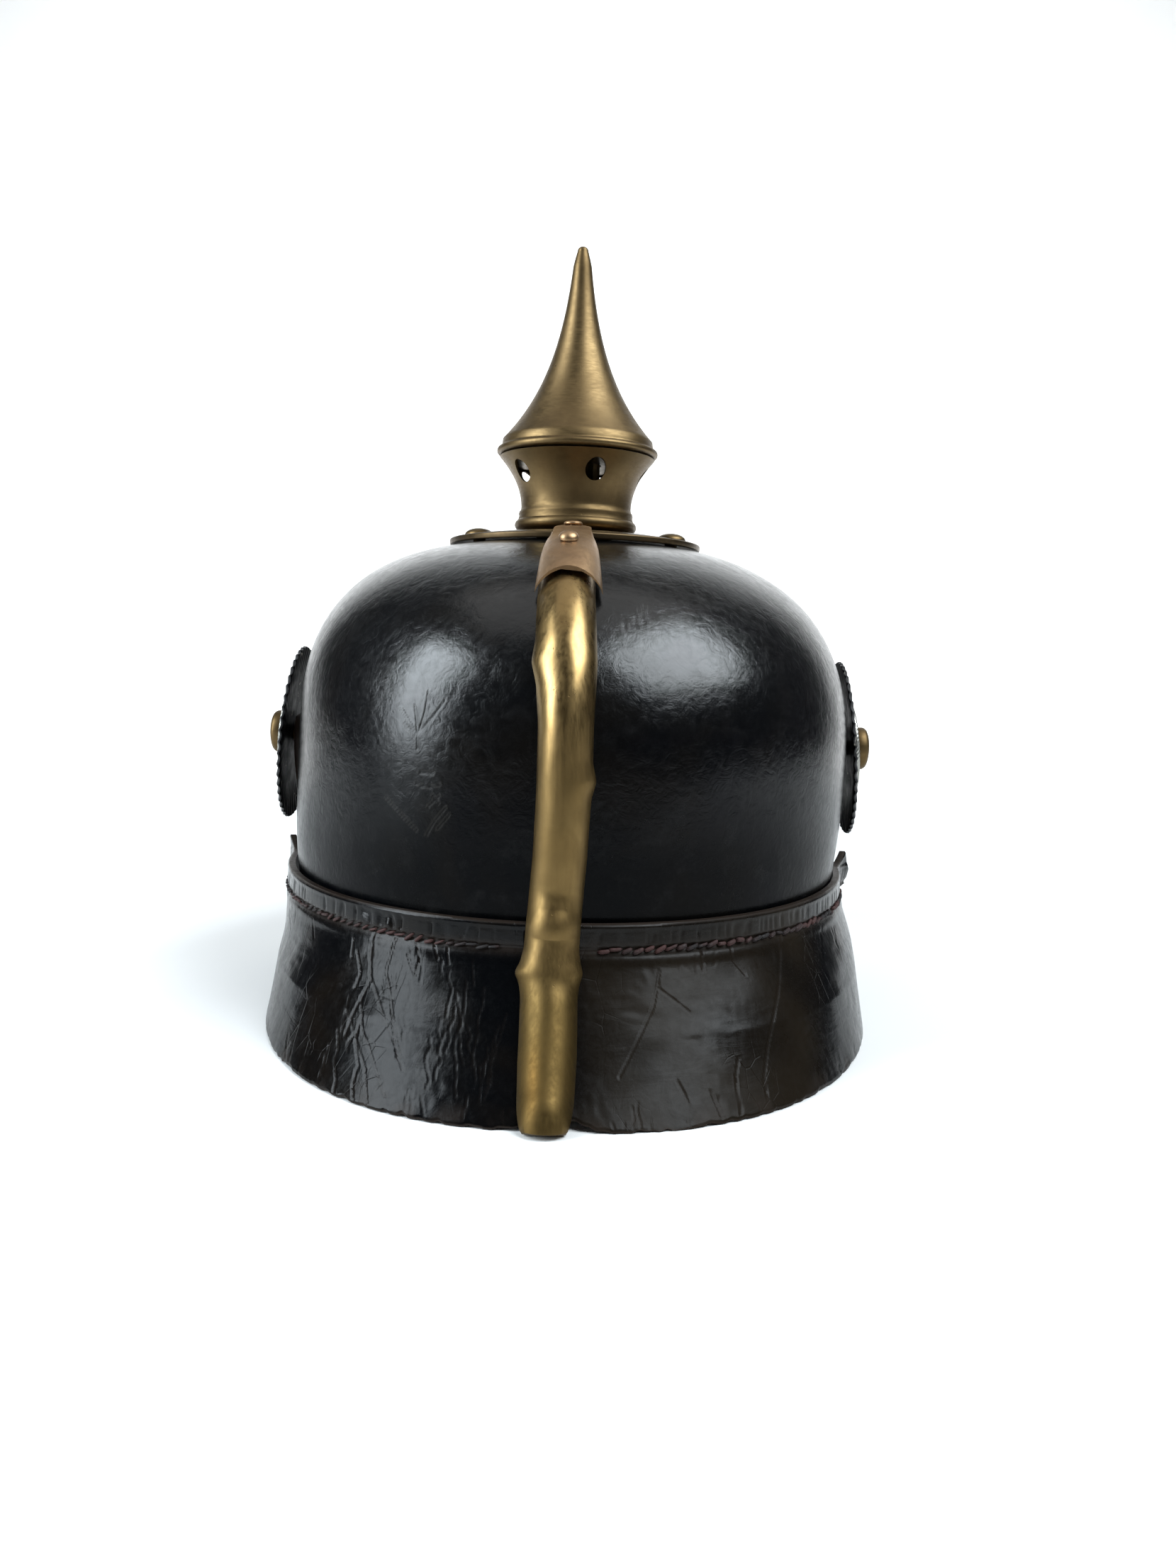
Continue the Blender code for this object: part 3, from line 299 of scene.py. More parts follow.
def old_metal(name, bright, dull, spot, roughness, brush=(1.0, 1.0, 1.0), dents=0.12,
              grain=0.012):
    """Hand-polished metal: a dull skin, brighter rubbed patches and small dark specks."""
    look = Look(name, metallic=1.0)
    skin = look.fit(look.noise(15, 4, 0.6, 0.8), 0.34, 0.68)
    cloud = look.fit(look.noise(3.2, 5, 0.65, 0.5), 0.3, 0.75)
    tone = look.blend(skin, bright, dull)
    tone = look.blend(look.times(cloud, 0.35), tone, tuple(value * 0.62 for value in dull))
    specks = look.fit(look.noise(0.9, 3, 0.6), 0.69, 0.76)
    gathered = look.fit(look.noise(12, 2, 0.5), 0.5, 0.62)
    tone = look.blend(look.times(specks, gathered), tone, spot)
    lines = look.noise(0.5, 4, 0.6, 0.2, stretch=brush)
    shine = look.maths("ADD", look.fit(lines, 0.3, 0.7, roughness - 0.05, roughness + 0.05),
                       look.fit(skin, 0.0, 1.0, 0.0, 0.07))
    look.finish(tone, shine, (look.noise(9.0, 2, 0.5), dents), (lines, grain),
                (specks, -0.03))
    return look


def spine_brass():
    look = old_metal("spine_brass", (0.31, 0.208, 0.086), (0.225, 0.148, 0.060),
                     (0.14, 0.09, 0.042), 0.31, brush=(1.0, 1.0, 0.1))
    tone = look.blend(look.painted("stain"), look.shaded("Base Color"), (0.42, 0.22, 0.06))
    # Painted shade: the strip is darkened towards its lower end where dull is painted, and made
    # rougher there.
    tone = look.blend(look.times(look.painted("dull"), 0.9), tone, (0.070, 0.045, 0.014))
    # Dirt and painted shade: darker along the flanks where the strip meets the leather, and over
    # its underside.
    tone = look.blend(look.painted("grime_and_shade"), tone, (0.060, 0.040, 0.020))
    look.shade("Base Color", tone)
    look.shade("Roughness", look.maths("ADD", look.shaded("Roughness"),
                                       look.times(look.painted("dull"), 0.18)))
    return look.material


def enamel():
    look = Look("black_enamel")
    look.shade("Specular IOR Level", look.fit(look.painted("back"), 0.0, 1.0, 0.45, 0.06))
    chips = look.fit(look.noise(1.6, 4, 0.7), 0.645, 0.70)
    tone = look.blend(chips, (0.008, 0.008, 0.009), (0.26, 0.24, 0.20))
    return look.finish(tone, look.fit(look.noise(3.0, 4, 0.6), 0.3, 0.7, 0.4, 0.6),
                       (look.noise(1.2, 4, 0.6), 0.08), (chips, -0.05))


def thread_fibre():
    look = Look("waxed_thread", specular=0.3)
    strands = look.noise(0.35, 3, 0.6, 0.5)
    tone = look.blend(look.fit(look.noise(9, 3, 0.5), 0.4, 0.6),
                      (0.045, 0.018, 0.016), (0.010, 0.008, 0.008))
    return look.finish(tone, look.fit(strands, 0.3, 0.7, 0.55, 0.8), (strands, 0.08))


def floor_paint():
    """Pale paper that falls off to grey at the sides and behind the camera."""
    look = Look("pale_floor", specular=0.15)
    aside = look.fit(look.maths("ABSOLUTE", look.axis("X"), 0), 1.0, 1.7)
    behind = look.fit(look.axis("Y"), 0.29, 0.72)
    away = look.maths("MAXIMUM", aside, behind)
    paper = look.blend(look.noise(60, 3, 0.5), (0.80, 0.80, 0.79), (0.84, 0.84, 0.83))
    look.shade("Base Color", look.blend(away, paper, (0.11, 0.11, 0.11)))
    look.shade("Roughness", look.fit(look.noise(60, 3, 0.5), 0.3, 0.7, 0.75, 0.85))
    return look.material


# Finishes: a material and the slot that it fills.
SKULL_LOOK = skull_leather(), "black_leather"
GUARD_LOOK = brim_leather("crazed_black_leather", 1.0), "black_leather"
VISOR_LOOK = brim_leather("visor_black_leather", 0.45), "black_leather"
STRAP_LOOK = soft_leather("strap_leather", (0.022, 0.014, 0.010), (0.045, 0.028, 0.018),
                          0.5, 1.1), "strap_leather"
LINER_LOOK = soft_leather("liner_leather", (0.20, 0.105, 0.05), (0.36, 0.22, 0.115),
                          0.62, 0.9), "liner_leather"
THREAD_LOOK = thread_fibre(), "thread"
AGED_LOOK = old_metal("aged_brass", (0.165, 0.112, 0.052), (0.122, 0.081, 0.037),
                      (0.05, 0.034, 0.02), 0.42, (0.35, 0.35, 2.0)).material, "aged_brass"
# The plate's brass is a darker copy of the aged brass: painted shade.
PLATE_LOOK = old_metal("shaded_brass", (0.13, 0.09, 0.048), (0.09, 0.062, 0.033),
                       (0.03, 0.02, 0.012), 0.36).material, "aged_brass"
BRIGHT_LOOK = old_metal("bright_brass", (0.52, 0.37, 0.15), (0.36, 0.255, 0.105),
                        (0.05, 0.03, 0.015), 0.28, dents=0.05,
                        grain=0.004).material, "bright_brass"
COPPER_LOOK = old_metal("copper_brass", (0.38, 0.245, 0.135), (0.29, 0.18, 0.098),
                        (0.08, 0.05, 0.035), 0.42).material, "copper_brass"
SILVER_LOOK = old_metal("tarnished_silver", (0.58, 0.575, 0.53), (0.33, 0.325, 0.29),
                        (0.08, 0.075, 0.06), 0.34).material, "silver"
STEEL_LOOK = old_metal("dull_steel", (0.36, 0.35, 0.33), (0.24, 0.23, 0.21),
                       (0.10, 0.05, 0.03), 0.42).material, "steel"
SPINE_LOOK = spine_brass(), "bright_brass"
ENAMEL_LOOK = enamel(), "black_enamel"


# ---------------------------------------------------------------- small helpers

def clamp(value):
    return np.clip(value, 0, 1)


def ease(share):
    """Smooth step of a share from 0 to 1."""
    return share * share * (3 - 2 * share)


def rounded(share):
    """Quarter circle: steep at 0 and level at 1."""
    return np.sqrt(1 - (1 - share) ** 2)


def bell(value, middle, width):
    return np.exp(-((value - middle) / width) ** 2)


def unit(vectors):
    return vectors / (np.linalg.norm(vectors, axis=-1, keepdims=True) + 1e-12)


def square_to(vectors, along):
    """Unit vectors, turned square to the unit vectors along."""
    return unit(vectors - along * (vectors * along).sum(axis=-1, keepdims=True))


def points_at(x, y, z):
    return np.stack(np.broadcast_arrays(x, y, z), axis=-1)


def distances(points):
    """Distance run along a path, at each of its points."""
    return np.concatenate([[0], np.cumsum(np.linalg.norm(np.diff(points, axis=0), axis=1))])


def lumps(points, size, seed, stretch=(1.0, 1.0, 1.0)):
    """Smooth seeded noise, mostly from -1 to 1, with lumps about size apart."""
    rng = np.random.default_rng(seed)
    waves = rng.normal(size=(28, 3))
    waves /= np.linalg.norm(waves, axis=1, keepdims=True)
    waves *= 2 * pi / size * rng.uniform(0.45, 1.3, (28, 1))
    phases = rng.uniform(0, 2 * pi, 28)
    total = np.sin(points * np.array(stretch) @ waves.T + phases).sum(axis=-1)
    return total / sqrt(28)


# ---------------------------------------------------------------- meshes

def add_object(name, data):
    made = bpy.data.objects.new(name, data)
    bpy.context.collection.objects.link(made)
    return made


def grid_faces(rows, columns, rows_meet=False, columns_meet=True):
    row = np.arange(rows if rows_meet else rows - 1)[:, None]
    column = np.arange(columns if columns_meet else columns - 1)[None, :]
    below, beside = (row + 1) % rows, (column + 1) % columns
    corners = (row * columns + column, row * columns + beside,
               below * columns + beside, below * columns + column)
    return np.stack(corners, axis=-1).reshape(-1, 4)


def store(name, parts, finish, node, sharp, body="helmet", values=None):
    """Make a piece in place of a CAD node from parts, each (grid, ring).

    A grid holds millimetre points and closes round its columns. It closes round its
    rows too when ring is true, and with end caps when it isn't.
    """
    points, faces = [], []
    for grid, ring in parts:
        first = sum(len(part) for part in points)
        rows, columns = grid.shape[:2]
        faces += (grid_faces(rows, columns, ring) + first).tolist()
        points.append(grid.reshape(-1, 3))
        if not ring:
            last = first + (rows - 1) * columns
            faces.append(list(range(first, first + columns))[::-1])
            faces.append(list(range(last, last + columns)))
    mesh = bpy.data.meshes.new(name)
    mesh.from_pydata((np.concatenate(points) * MM).tolist(), [], faces)
    for label, numbers in (values or {}).items():
        layer = mesh.attributes.new(label, "FLOAT", "POINT")
        layer.data.foreach_set("value", np.asarray(numbers, np.float32).ravel())
    bm = bmesh.new()
    bm.from_mesh(mesh)
    bmesh.ops.remove_doubles(bm, verts=bm.verts, dist=1e-7)
    bmesh.ops.recalc_face_normals(bm, faces=bm.faces)
    bm.to_mesh(mesh)
    bm.free()
    mesh.shade_smooth()
    mesh.set_sharp_from_angle(angle=radians(sharp))
    material, slot = finish
    mesh.materials.append(material)
    piece = add_object(name, mesh)
    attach(piece, body)
    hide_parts(node)
    return piece


def normals_of(grid, columns_meet=False):
    """Unit normals of a grid of points."""
    along = np.gradient(grid, axis=0)
    if columns_meet:
        across = np.roll(grid, -1, axis=1) - np.roll(grid, 1, axis=1)
    else:
        across = np.gradient(grid, axis=1)
    return unit(np.cross(across, along))


def worn(grid, outer_wear, rest):
    """Wear of a grid: given for the outer face's rows, one value for the others."""
    wear = np.full(grid.shape[:2], rest)
    wear[:len(outer_wear)] = outer_wear
    return wear


def crack_field(across, height, cracks, width):
    """0 to 1 depth and lip values round crack lines given as (x, z) points."""
    nearest = np.full(across.shape, 1e3)
    for crack in cracks:
        for (x0, z0), (x1, z1) in zip(crack, crack[1:]):
            run, rise = x1 - x0, z1 - z0
            share = ((across - x0) * run + (height - z0) * rise) / (run ** 2 + rise ** 2)
            share = clamp(share)
            away = np.hypot(across - x0 - share * run, height - z0 - share * rise)
            nearest = np.minimum(nearest, away)
    return bell(nearest, 0, width), bell(nearest, 2 * width, width)


def wander(start, end, steps, sway, rng):
    """A crooked line between two points."""
    line = []
    for step in range(steps + 1):
        share = step / steps
        off = sway * rng.normal() * (0 < step < steps)
        line.append((start[0] + (end[0] - start[0]) * share + off,
                     start[1] + (end[1] - start[1]) * share + 0.3 * off))
    return line


def swept(path, across, away, sections):
    """Grid of (across, away) sections placed along a path."""
    return path[:, None] + across[:, None] * sections[..., :1] \
        + away[:, None] * sections[..., 1:]


def turned_piece(name, profile, columns, finish, node, place=(0, 0, 0), aim=(0, 0, 1),
                 shape=None, back=0, body="helmet"):
    """Turn a closed (radius, height) outline about aim. shape may move its points, and
    the last back points of the outline are painted as the back."""
    profile = np.array(profile, float)
    turn = np.linspace(0, 2 * pi, columns, endpoint=False)[None, :]
    radius, height = (profile[:, index, None] + 0 * turn for index in (0, 1))
    if shape:
        radius, height = shape(radius, height, turn)
    grid = np.stack([radius * np.cos(turn), radius * np.sin(turn), height], axis=-1)
    swing = np.array(Vector((0, 0, 1)).rotation_difference(Vector(aim)).to_matrix())
    row = np.arange(len(profile))[:, None] + 0 * turn
    values = {"back": row >= len(profile) - back} if back else None
    return store(name, [(grid @ swing.T + np.array(place, float), True)], finish, node, 38,
                 body, values)


def arc(centre_r, centre_z, radius, first, last, steps):
    """Outline points on an arc, angles in degrees from straight out."""
    return [(centre_r + radius * cos(turn), centre_z + radius * sin(turn))
            for turn in np.radians(np.linspace(first, last, steps + 1))]


def round_top(radius, base, height, first, count):
    """Outline points of a rounded top, from an angle above its edge to the middle."""
    return [(radius * cos(t), base + height * sin(t))
            for t in np.linspace(first, pi / 2, count)]


def dome(radius, height, shank, length):
    """Domed head with a rounded lip, standing on height 0, and its shank."""
    lip = 0.5
    return [(0, -length), (shank, -length), (shank, 0), (radius - 0.3, 0),
            (radius, 0.3)] + round_top(radius, lip, height - lip, 0, 11)


# ---------------------------------------------------------------- surfaces

def superellipse(angle, half_x, half_y, power):
    across, along = np.cos(angle), np.sin(angle)
    scale = (np.abs(across) ** power + np.abs(along) ** power) ** (-1 / power)
    return half_x * across * scale, half_y * along * scale


def skull_axes(z, offset=0.0):
    """Half width and half length of the skull at a height."""
    width, length = HALF_WIDTH + offset, HALF_LENGTH + offset
    level = clamp((z - WIDEST_Z) / (SKULL_RISE + offset))
    reach = (1 - level ** SKULL_POWER) ** (1 / SKULL_POWER)
    drop = np.clip((WIDEST_Z - z) / (WIDEST_Z - RIM_Z), 0, None)
    tuck = HALF_WIDTH * RIM_TUCK * drop ** 2
    return (reach * width - tuck,
            reach * (width + (length - width) * (1 - level ** 3)) - tuck)


def skull_point(angle, z, offset=0.0):
    return points_at(*superellipse(angle, *skull_axes(z, offset), PLAN_POWER), z)


def skull_top(x, y):
    """Height of the skull above a point in plan."""
    low, high = WIDEST_Z, WIDEST_Z + SKULL_RISE
    for _ in range(40):
        middle = (low + high) / 2
        half_x, half_y = skull_axes(middle)
        inside = half_x > 0 and (abs(x) / half_x) ** PLAN_POWER \
            + (abs(y) / half_y) ** PLAN_POWER < 1
        low, high = (middle, high) if inside else (low, middle)
    return low


def skull_front(x, z):
    """Points on the front of the skull, -Y side."""
    half_x, half_y = skull_axes(z)
    share = clamp(1 - (np.abs(x) / half_x) ** PLAN_POWER)
    return points_at(x, -half_y * share ** (1 / PLAN_POWER), z)


def plate_top(radius):
    share = max((radius - PLATE_BORE) / (PLATE_RADIUS - PLATE_BORE), 0.0)
    return float(PLATE_CENTRE_Z + (PLATE_EDGE_Z - PLATE_CENTRE_Z) * share ** 2)


def lap_lean(z):
    """How far a brim's sewn lap leans out at a height."""
    return LAP_STEP * clamp((LAP_TOP_Z - z) / (LAP_TOP_Z - RIM_Z))


def flare_fall(z):
    return np.clip((RIM_Z - z) / RIM_Z, 0, None)


def flared_axes(z, brim):
    half_x, half_y = (axis + lap_lean(z)
                      for axis in skull_axes(np.maximum(z, RIM_Z), GAP + LEATHER))
    share = 0.45 * flare_fall(z) + 0.55 * flare_fall(z) ** 1.6
    return (half_x + (brim["half_width"] - half_x) * share,
            half_y + (brim["reach"] - half_y) * share)


def brim_point(angle, z, inset, brim):
    half_x, half_y = flared_axes(z, brim)
    power = PLAN_POWER + (brim["power"] - PLAN_POWER) * np.minimum(flare_fall(z) * 2, 1)
    return points_at(*superellipse(angle, half_x - inset, half_y - inset, power), z)


def half_span(brim):
    return radians(90 - brim["end_angle"])


def from_end(angle, brim):
    """Distance along a brim from its nearer end."""
    return (half_span(brim) - np.abs(angle - radians(brim["middle"]))) * brim["half_width"]


def horn_share(angle, brim):
    """1 at the tip of a brim's upturned ends, 0 away from them."""
    return clamp(1 - from_end(angle, brim) / HORN_LENGTH) ** 2 * brim["horn"]


def brim_edge_z(angle, brim):
    share = rounded(clamp(from_end(angle, brim) / brim["corner"]))
    lip = RIM_Z - brim["lip"]
    off_middle = np.abs(angle - pi / 2) - radians(3)
    notch = brim["notch"] * clamp(1 - np.clip(off_middle, 0, None) / radians(3))
    return lip + (brim["edge_z"] - lip) * share + notch


def brim_pair(angle, z, edge, brim):
    """Outer and inner points of a brim's leather at heights of its outer face."""
    angle, z = np.broadcast_arrays(angle, z)
    spread = HORN_SPREAD * horn_share(angle, brim) * (z > RIM_Z)
    above, below = (np.hypot(*np.moveaxis(brim_point(angle, level, 0.0, brim), -1, 0)[:2])
                    for level in (z + 0.5, z - 0.5))
    slope = np.arctan(below - above)
    square = clamp((z - edge) / brim["flat"]) if brim["flat"] else np.ones_like(z)
    flare_inset = FLARE_LEATHER * (np.cos(slope) * square + (1 - square) / np.cos(slope))
    lap = z >= RIM_Z
    inset = np.where(lap, LEATHER + lap_lean(z) - spread, flare_inset)
    outer = brim_point(angle, z, -spread, brim)
    inner = brim_point(angle, z, inset, brim)
    inner[..., 2] -= np.where(lap, 0.0, FLARE_LEATHER * np.sin(slope) * square)
    return outer, inner


def rear_surface(z):
    """How far back the helmet's centre line reaches at a height."""
    if z < LAP_TOP_Z:
        return float(flared_axes(z, GUARD)[1])
    step = max(0.0, 1 - (z - LAP_TOP_Z) / 7)
    return float(skull_axes(z)[1]) + (GAP + LEATHER) * ease(step)


def spine_station(y):
    """Point and outward normal on the crown's centre line, y behind the middle."""
    here, ahead = (np.array((0.0, where, skull_top(0, where))) for where in (y, y + 0.5))
    along = unit(ahead - here)
    return here, np.array((0.0, -along[2], along[1]))


# ---------------------------------------------------------------- skull

SKULL_MARKS = (
    ((41, 95), (39, 101), (38, 107)), ((41, 95), (36, 101), (33, 105)),
    ((41, 95), (44, 99), (46, 102)), ((41, 95), (41.5, 100), (42, 103)),
    ((45, 98), (41, 94), (41, 91)),
    ((50, 77), (45, 73), (40, 69)), ((32, 76), (35, 72), (37, 68)),
    ((34, 79), (37, 76)), ((40, 85), (36, 85)), ((41, 82), (38, 81), (34, 82)),
    ((31, 74), (34, 70)), ((36, 79), (34, 77)),
    ((-23, 131), (-19, 128), (-18, 127.5), (-15, 126)), ((-22, 132.5), (-20, 131)),
)


def build_skull():
    """Leather bowl, finer at the back, with slight waves and a few short splits.

    Its back bulges a little towards -X at mid height.
    """
    spans = ((0, 48, 100), (48, 80, 160), (80, 106, 90), (106, 180, 130), (180, 360, 110))
    degrees = [np.linspace(*span, endpoint=False) for span in spans]
    angle = np.radians(np.concatenate(degrees))[None, :]
    vent = 1 - (VENT_SHARE / HALF_WIDTH) ** SKULL_POWER

    def heights(offset, lower, middle, crown):
        rise = SKULL_RISE + offset
        start = np.arcsin(((112 - WIDEST_Z) / rise) ** (SKULL_POWER / 2))
        turn = start + (np.arcsin(vent ** 0.5) - start) * np.arange(1, crown + 1) / crown
        above = WIDEST_Z + rise * np.sin(turn) ** (2 / SKULL_POWER)
        return np.concatenate([np.linspace(RIM_Z, 66, lower, endpoint=False),
                               np.linspace(66, 112, middle), above])[:, None]

    outer = skull_point(angle, heights(0.0, 14, 76, 46))
    inner = skull_point(angle, heights(-SKULL_THICKNESS, 3, 5, 9), -SKULL_THICKNESS)
    x, y, z = np.moveaxis(outer, -1, 0)
    depth, lip = crack_field(x, z, SKULL_MARKS, 0.22)
    rear = y > 20
    wave = 0.16 * lumps(outer, 46, 3) + 0.02 * lumps(outer, 13, 4) - 0.2
    wave += rear * (0.04 * lip - 0.12 * depth)
    near_spine = np.abs(x) < 12
    wave = np.minimum(wave, np.where(near_spine, 0.1, 0.3)) * clamp((z - LAP_TOP_Z) / 6)
    outer = outer + normals_of(outer, True) * wave[..., None]
    grid = np.concatenate([outer, inner[::-1]])
    bulge = bell(grid[..., 2], 92, 34) * ease(clamp(grid[..., 1] / 26))
    grid[..., 0] -= SKULL_BULGE * bulge
    store("skull_leather", [(grid, True)], SKULL_LOOK, "skull", 50,
          values={"wear": worn(grid, 0.5 * lip * rear, 1.0)})


# ---------------------------------------------------------------- brims

GUARD_CRACKS = (
    ((44, 39), (48, 30), (45, 20), (43, 14), (40, 9)),
    ((52, 35), (53, 28), (49, 22), (47, 19), (43, 14), (42, 11)),
    ((48, 29), (45, 21), (43, 17), (41, 12)),
    ((51, 39), (53, 33), (52.5, 28), (55, 22), (54, 19), (55, 13), (53, 8), (54, 4), (53, 0)),
    ((54, 18), (53, 15), (51, 13), (47, 7), (44, 3)),
    ((59, 19), (56, 15), (54, 12), (51, 8), (49, 1)),
    ((55, 15), (57, 12), (57, 10)), ((54.5, 24), (57, 18), (58.5, 13)),
    ((61, 14), (60, 10), (60.5, 7), (59, 3), (59.5, 0)), ((63, 10), (64, 5), (65, 1)),
    ((41, 35), (40, 32), (39, 30), (37.5, 34), (38, 38)), ((33, 39), (32.5, 37), (32, 35)),
    ((29, 38), (29, 34)), ((57, 33), (56, 28), (57.5, 24)), ((58, 36), (59, 31)),
    ((-28, 34), (-26, 29), (-25, 26), (-21, 19), (-18, 14), (-16, 11)),
    ((-66, 41), (-63.5, 33), (-61, 26), (-57, 15), (-55, 7), (-56, 2)),
    ((-49, 39), (-49, 35), (-52, 31)), ((-40, 39), (-40.5, 36), (-40, 33)),
    ((-27, 30), (-31, 27), (-35, 24)), ((-31, 10), (-33, 7), (-34, 5), (-34, 1)),
    ((-40, 7), (-41.5, 4), (-43, 1)), ((-48, 13), (-47, 9), (-47.5, 5), (-48, 1)),
)


def small_cracks():
    """Short seeded cracks along the seam and lower edge, and finer ones between."""
    rng = np.random.default_rng(11)
    cracks = []
    for _ in range(30):
        x = rng.uniform(-92, 92)
        top = rng.uniform(34, 38)
        cracks.append(wander((x, top), (x + rng.normal(), top - rng.uniform(2, 7)),
                             3, 0.3, rng))
    for _ in range(26):
        x = rng.uniform(-88, 88)
        cracks.append(wander((x, 0), (x + rng.normal(), rng.uniform(2, 7)), 3, 0.3, rng))
    for _ in range(22):
        x = rng.uniform(10, 64)
        top = rng.uniform(16, 34)
        cracks.append(wander((x, top), (x + rng.normal() * 2, top - rng.uniform(8, 18)),
                             5, 0.5, rng))
    return cracks


def brim_grid(brim, columns, lap_rows, flare_rows, inner_step):
    """Outer face down, then rounded edge, inner face up and rounded top, and the edge."""
    share = np.linspace(-1, 1, columns)
    share = np.sign(share) * np.abs(share) ** brim["crowding"]
    angle = (radians(brim["middle"]) + half_span(brim) * share)[None, :]
    top = LAP_TOP_Z + HORN_RISE * horn_share(angle, brim)
    ragged = lumps(brim_point(angle, np.zeros_like(angle), 0.0, brim), 4.0, 21)
    edge = brim_edge_z(angle, brim) + brim["ragged"] * np.clip(ragged + 0.3, 0, 1.4)
    down_lap = np.linspace(0, 1, lap_rows)[:, None]
    down_flare = np.linspace(0, 1, flare_rows + 1)[1:, None]
    margin = 0.6
    heights = np.concatenate([top - margin + (RIM_Z - top + margin) * down_lap,
                              RIM_Z + (edge + margin - RIM_Z) * down_flare])
    outer, inner = brim_pair(angle, heights, edge, brim)
    edge_outer, edge_inner = brim_pair(angle, edge, edge, brim)
    top_outer, top_inner = brim_pair(angle, top, edge, brim)
    shares = np.array((0.12, 0.35, 0.65, 0.88))[:, None, None]
    bottom = edge_outer * (1 - shares) + edge_inner * shares
    crest = top_inner * (1 - shares) + top_outer * shares
    return outer, np.concatenate([bottom, inner[::-inner_step], crest]), edge


def lean_guard(points):
    """The guard stands a little towards -X below the seam, and its -X horn further out."""
    x, y, z = np.moveaxis(points, -1, 0)
    x -= GUARD_LEAN * ease(clamp((RIM_Z + 2 - z) / 16))
    horn = clamp(1 - np.abs(z - 44) / 9) * clamp(1 - (y - 3) / 12) * (x < 0)
    x -= HORN_STAND * horn
    return points


def facing_out(grid):
    """Unit normals of a brim's outer face, away from the middle of the helmet."""
    normal = normals_of(grid)
    return normal * np.sign((normal * (grid - (0, 0, 40))).sum(axis=-1, keepdims=True))


def on_lap(z):
    return clamp((z - STITCH_Z - 0.6) / 1.2) * clamp((LAP_TOP_Z - 1 - z) / 1.5)


def store_brim(name, grid, finish, node, values):
    values = {label: np.swapaxes(numbers, 0, 1) for label, numbers in values.items()}
    store(name, [(np.swapaxes(grid, 0, 1), False)], finish, node, 55, values=values)


def build_guard():
    outer, rest, _ = brim_grid(GUARD, 640, 22, 86, 4)
    x, z = outer[..., 0], outer[..., 2]
    depth, lip = crack_field(x, z, GUARD_CRACKS, 0.2)
    fine_depth, fine_lip = crack_field(x, z, small_cracks(), 0.2)
    depth, lip = np.maximum(depth, 0.4 * fine_depth), np.maximum(lip, 0.3 * fine_lip)
    wave = 0.16 * lumps(outer, 34, 5) + 0.035 * lumps(outer, 11, 6)
    wave += 0.022 * clamp(lumps(outer, 30, 7) + 0.35) * lumps(outer, 3.2, 8, (1, 1, 0.12))
    ripple = clamp(lumps(outer, 22, 9)) * clamp(1 - np.abs(z - 20) / 16)
    wave += (0.03 + 0.035 * (x < 0)) * ripple * lumps(outer, 2.6, 10, (0.3, 0.3, 1.0))
    wave += 0.05 * lip - 0.26 * depth
    cuts = clamp(1 - 3 * np.abs(lumps(outer, 5.5, 12, (1, 1, 0.1))))
    cut_depth = 0.32 * (1 + 1.2 * bell(x, 46, 13)) * on_lap(z)
    wave = np.where(z > STITCH_Z, 0.4 * wave, wave) - cut_depth * (cuts - 0.2)
    wave -= 0.5 * bell(z, STITCH_Z, GROOVE_WIDTH)
    wave += 0.30 * bell(z, STITCH_Z - 2.6, 1.3) + 0.16 * bell(z, LAP_TOP_Z - 1.0, 0.5)
    outer = outer + facing_out(outer) * wave[..., None]
    outer[..., 2] = np.maximum(outer[..., 2], 0.3)
    grid = lean_guard(np.concatenate([outer, rest]))
    scuffed = clamp(1 - z / 5) * clamp(lumps(outer, 9, 13))
    wear = worn(grid, 0.2 * depth + 0.5 * scuffed + 0.5 * bell(z, STITCH_Z, 1.6), 0.85)
    # dull marks the guard's -X side: rougher and less glossy there, and tinted brown as a
    # painted sheen.
    dull = clamp((-grid[..., 0] - 2) / 8) * clamp((80 + grid[..., 0]) / 10) \
        * clamp(0.7 + 0.3 * lumps(grid, 24, 14))
    store_brim("guard_leather", grid, GUARD_LOOK, "neck_guard", {"wear": wear, "dull": dull})


def build_visor():
    outer, rest, edge = brim_grid(VISOR, 360, 14, 46, 3)
    z = outer[..., 2]
    wave = 0.18 * lumps(outer, 40, 15) + 0.08 * lumps(outer, 12, 16)
    wave *= clamp((z - edge - 4) / 6)
    wave -= 0.22 * on_lap(z) * np.abs(lumps(outer, 3.6, 17, (1, 1, 0.1)))
    wave -= 0.4 * bell(z, STITCH_Z, GROOVE_WIDTH)
    grid = np.concatenate([outer + facing_out(outer) * wave[..., None], rest])
    store_brim("visor_leather", grid, VISOR_LOOK, "front_visor",
               {"wear": worn(grid, 0.4 * bell(z, STITCH_Z, 1.6), 0.7)})


def build_visor_trim():
    """Thin brass channel rolled over the visor's edge."""
    inside, wall, depth = FLARE_LEATHER / 2 + 0.65, 0.8, 3.2
    outline = [(inside, -depth), (inside + wall * 0.6, -depth - 0.15),
               (inside + wall, -depth + 0.3)]
    outline += [((inside + wall) * cos(t), GAP - 0.05 + 0.85 * sin(t))
                for t in np.linspace(0, pi, 13)]
    outline += [(-inside - wall, -depth + 0.3), (-inside - wall * 0.6, -depth - 0.15),
                (-inside, -depth), (-inside, GAP), (inside, GAP)]
    span = half_span(VISOR) - radians(1.5)
    angle = radians(VISOR["middle"]) + np.linspace(-span, span, 300)
    z = brim_edge_z(angle, VISOR)
    outer, inner = brim_pair(angle, z, z, VISOR)
    middle = (outer + inner) / 2
    along = unit(np.gradient(middle, axis=0))
    across = square_to(outer - inner, along)
    down = np.cross(along, across)
    down *= -np.sign(down[:, 2:3])
    grid = swept(middle, across, down, np.array(outline))
    grid[..., 2] = np.maximum(grid[..., 2], 0.0)
    store("visor_trim_brass", [(grid, False)], BRIGHT_LOOK, "visor_trim", 45)


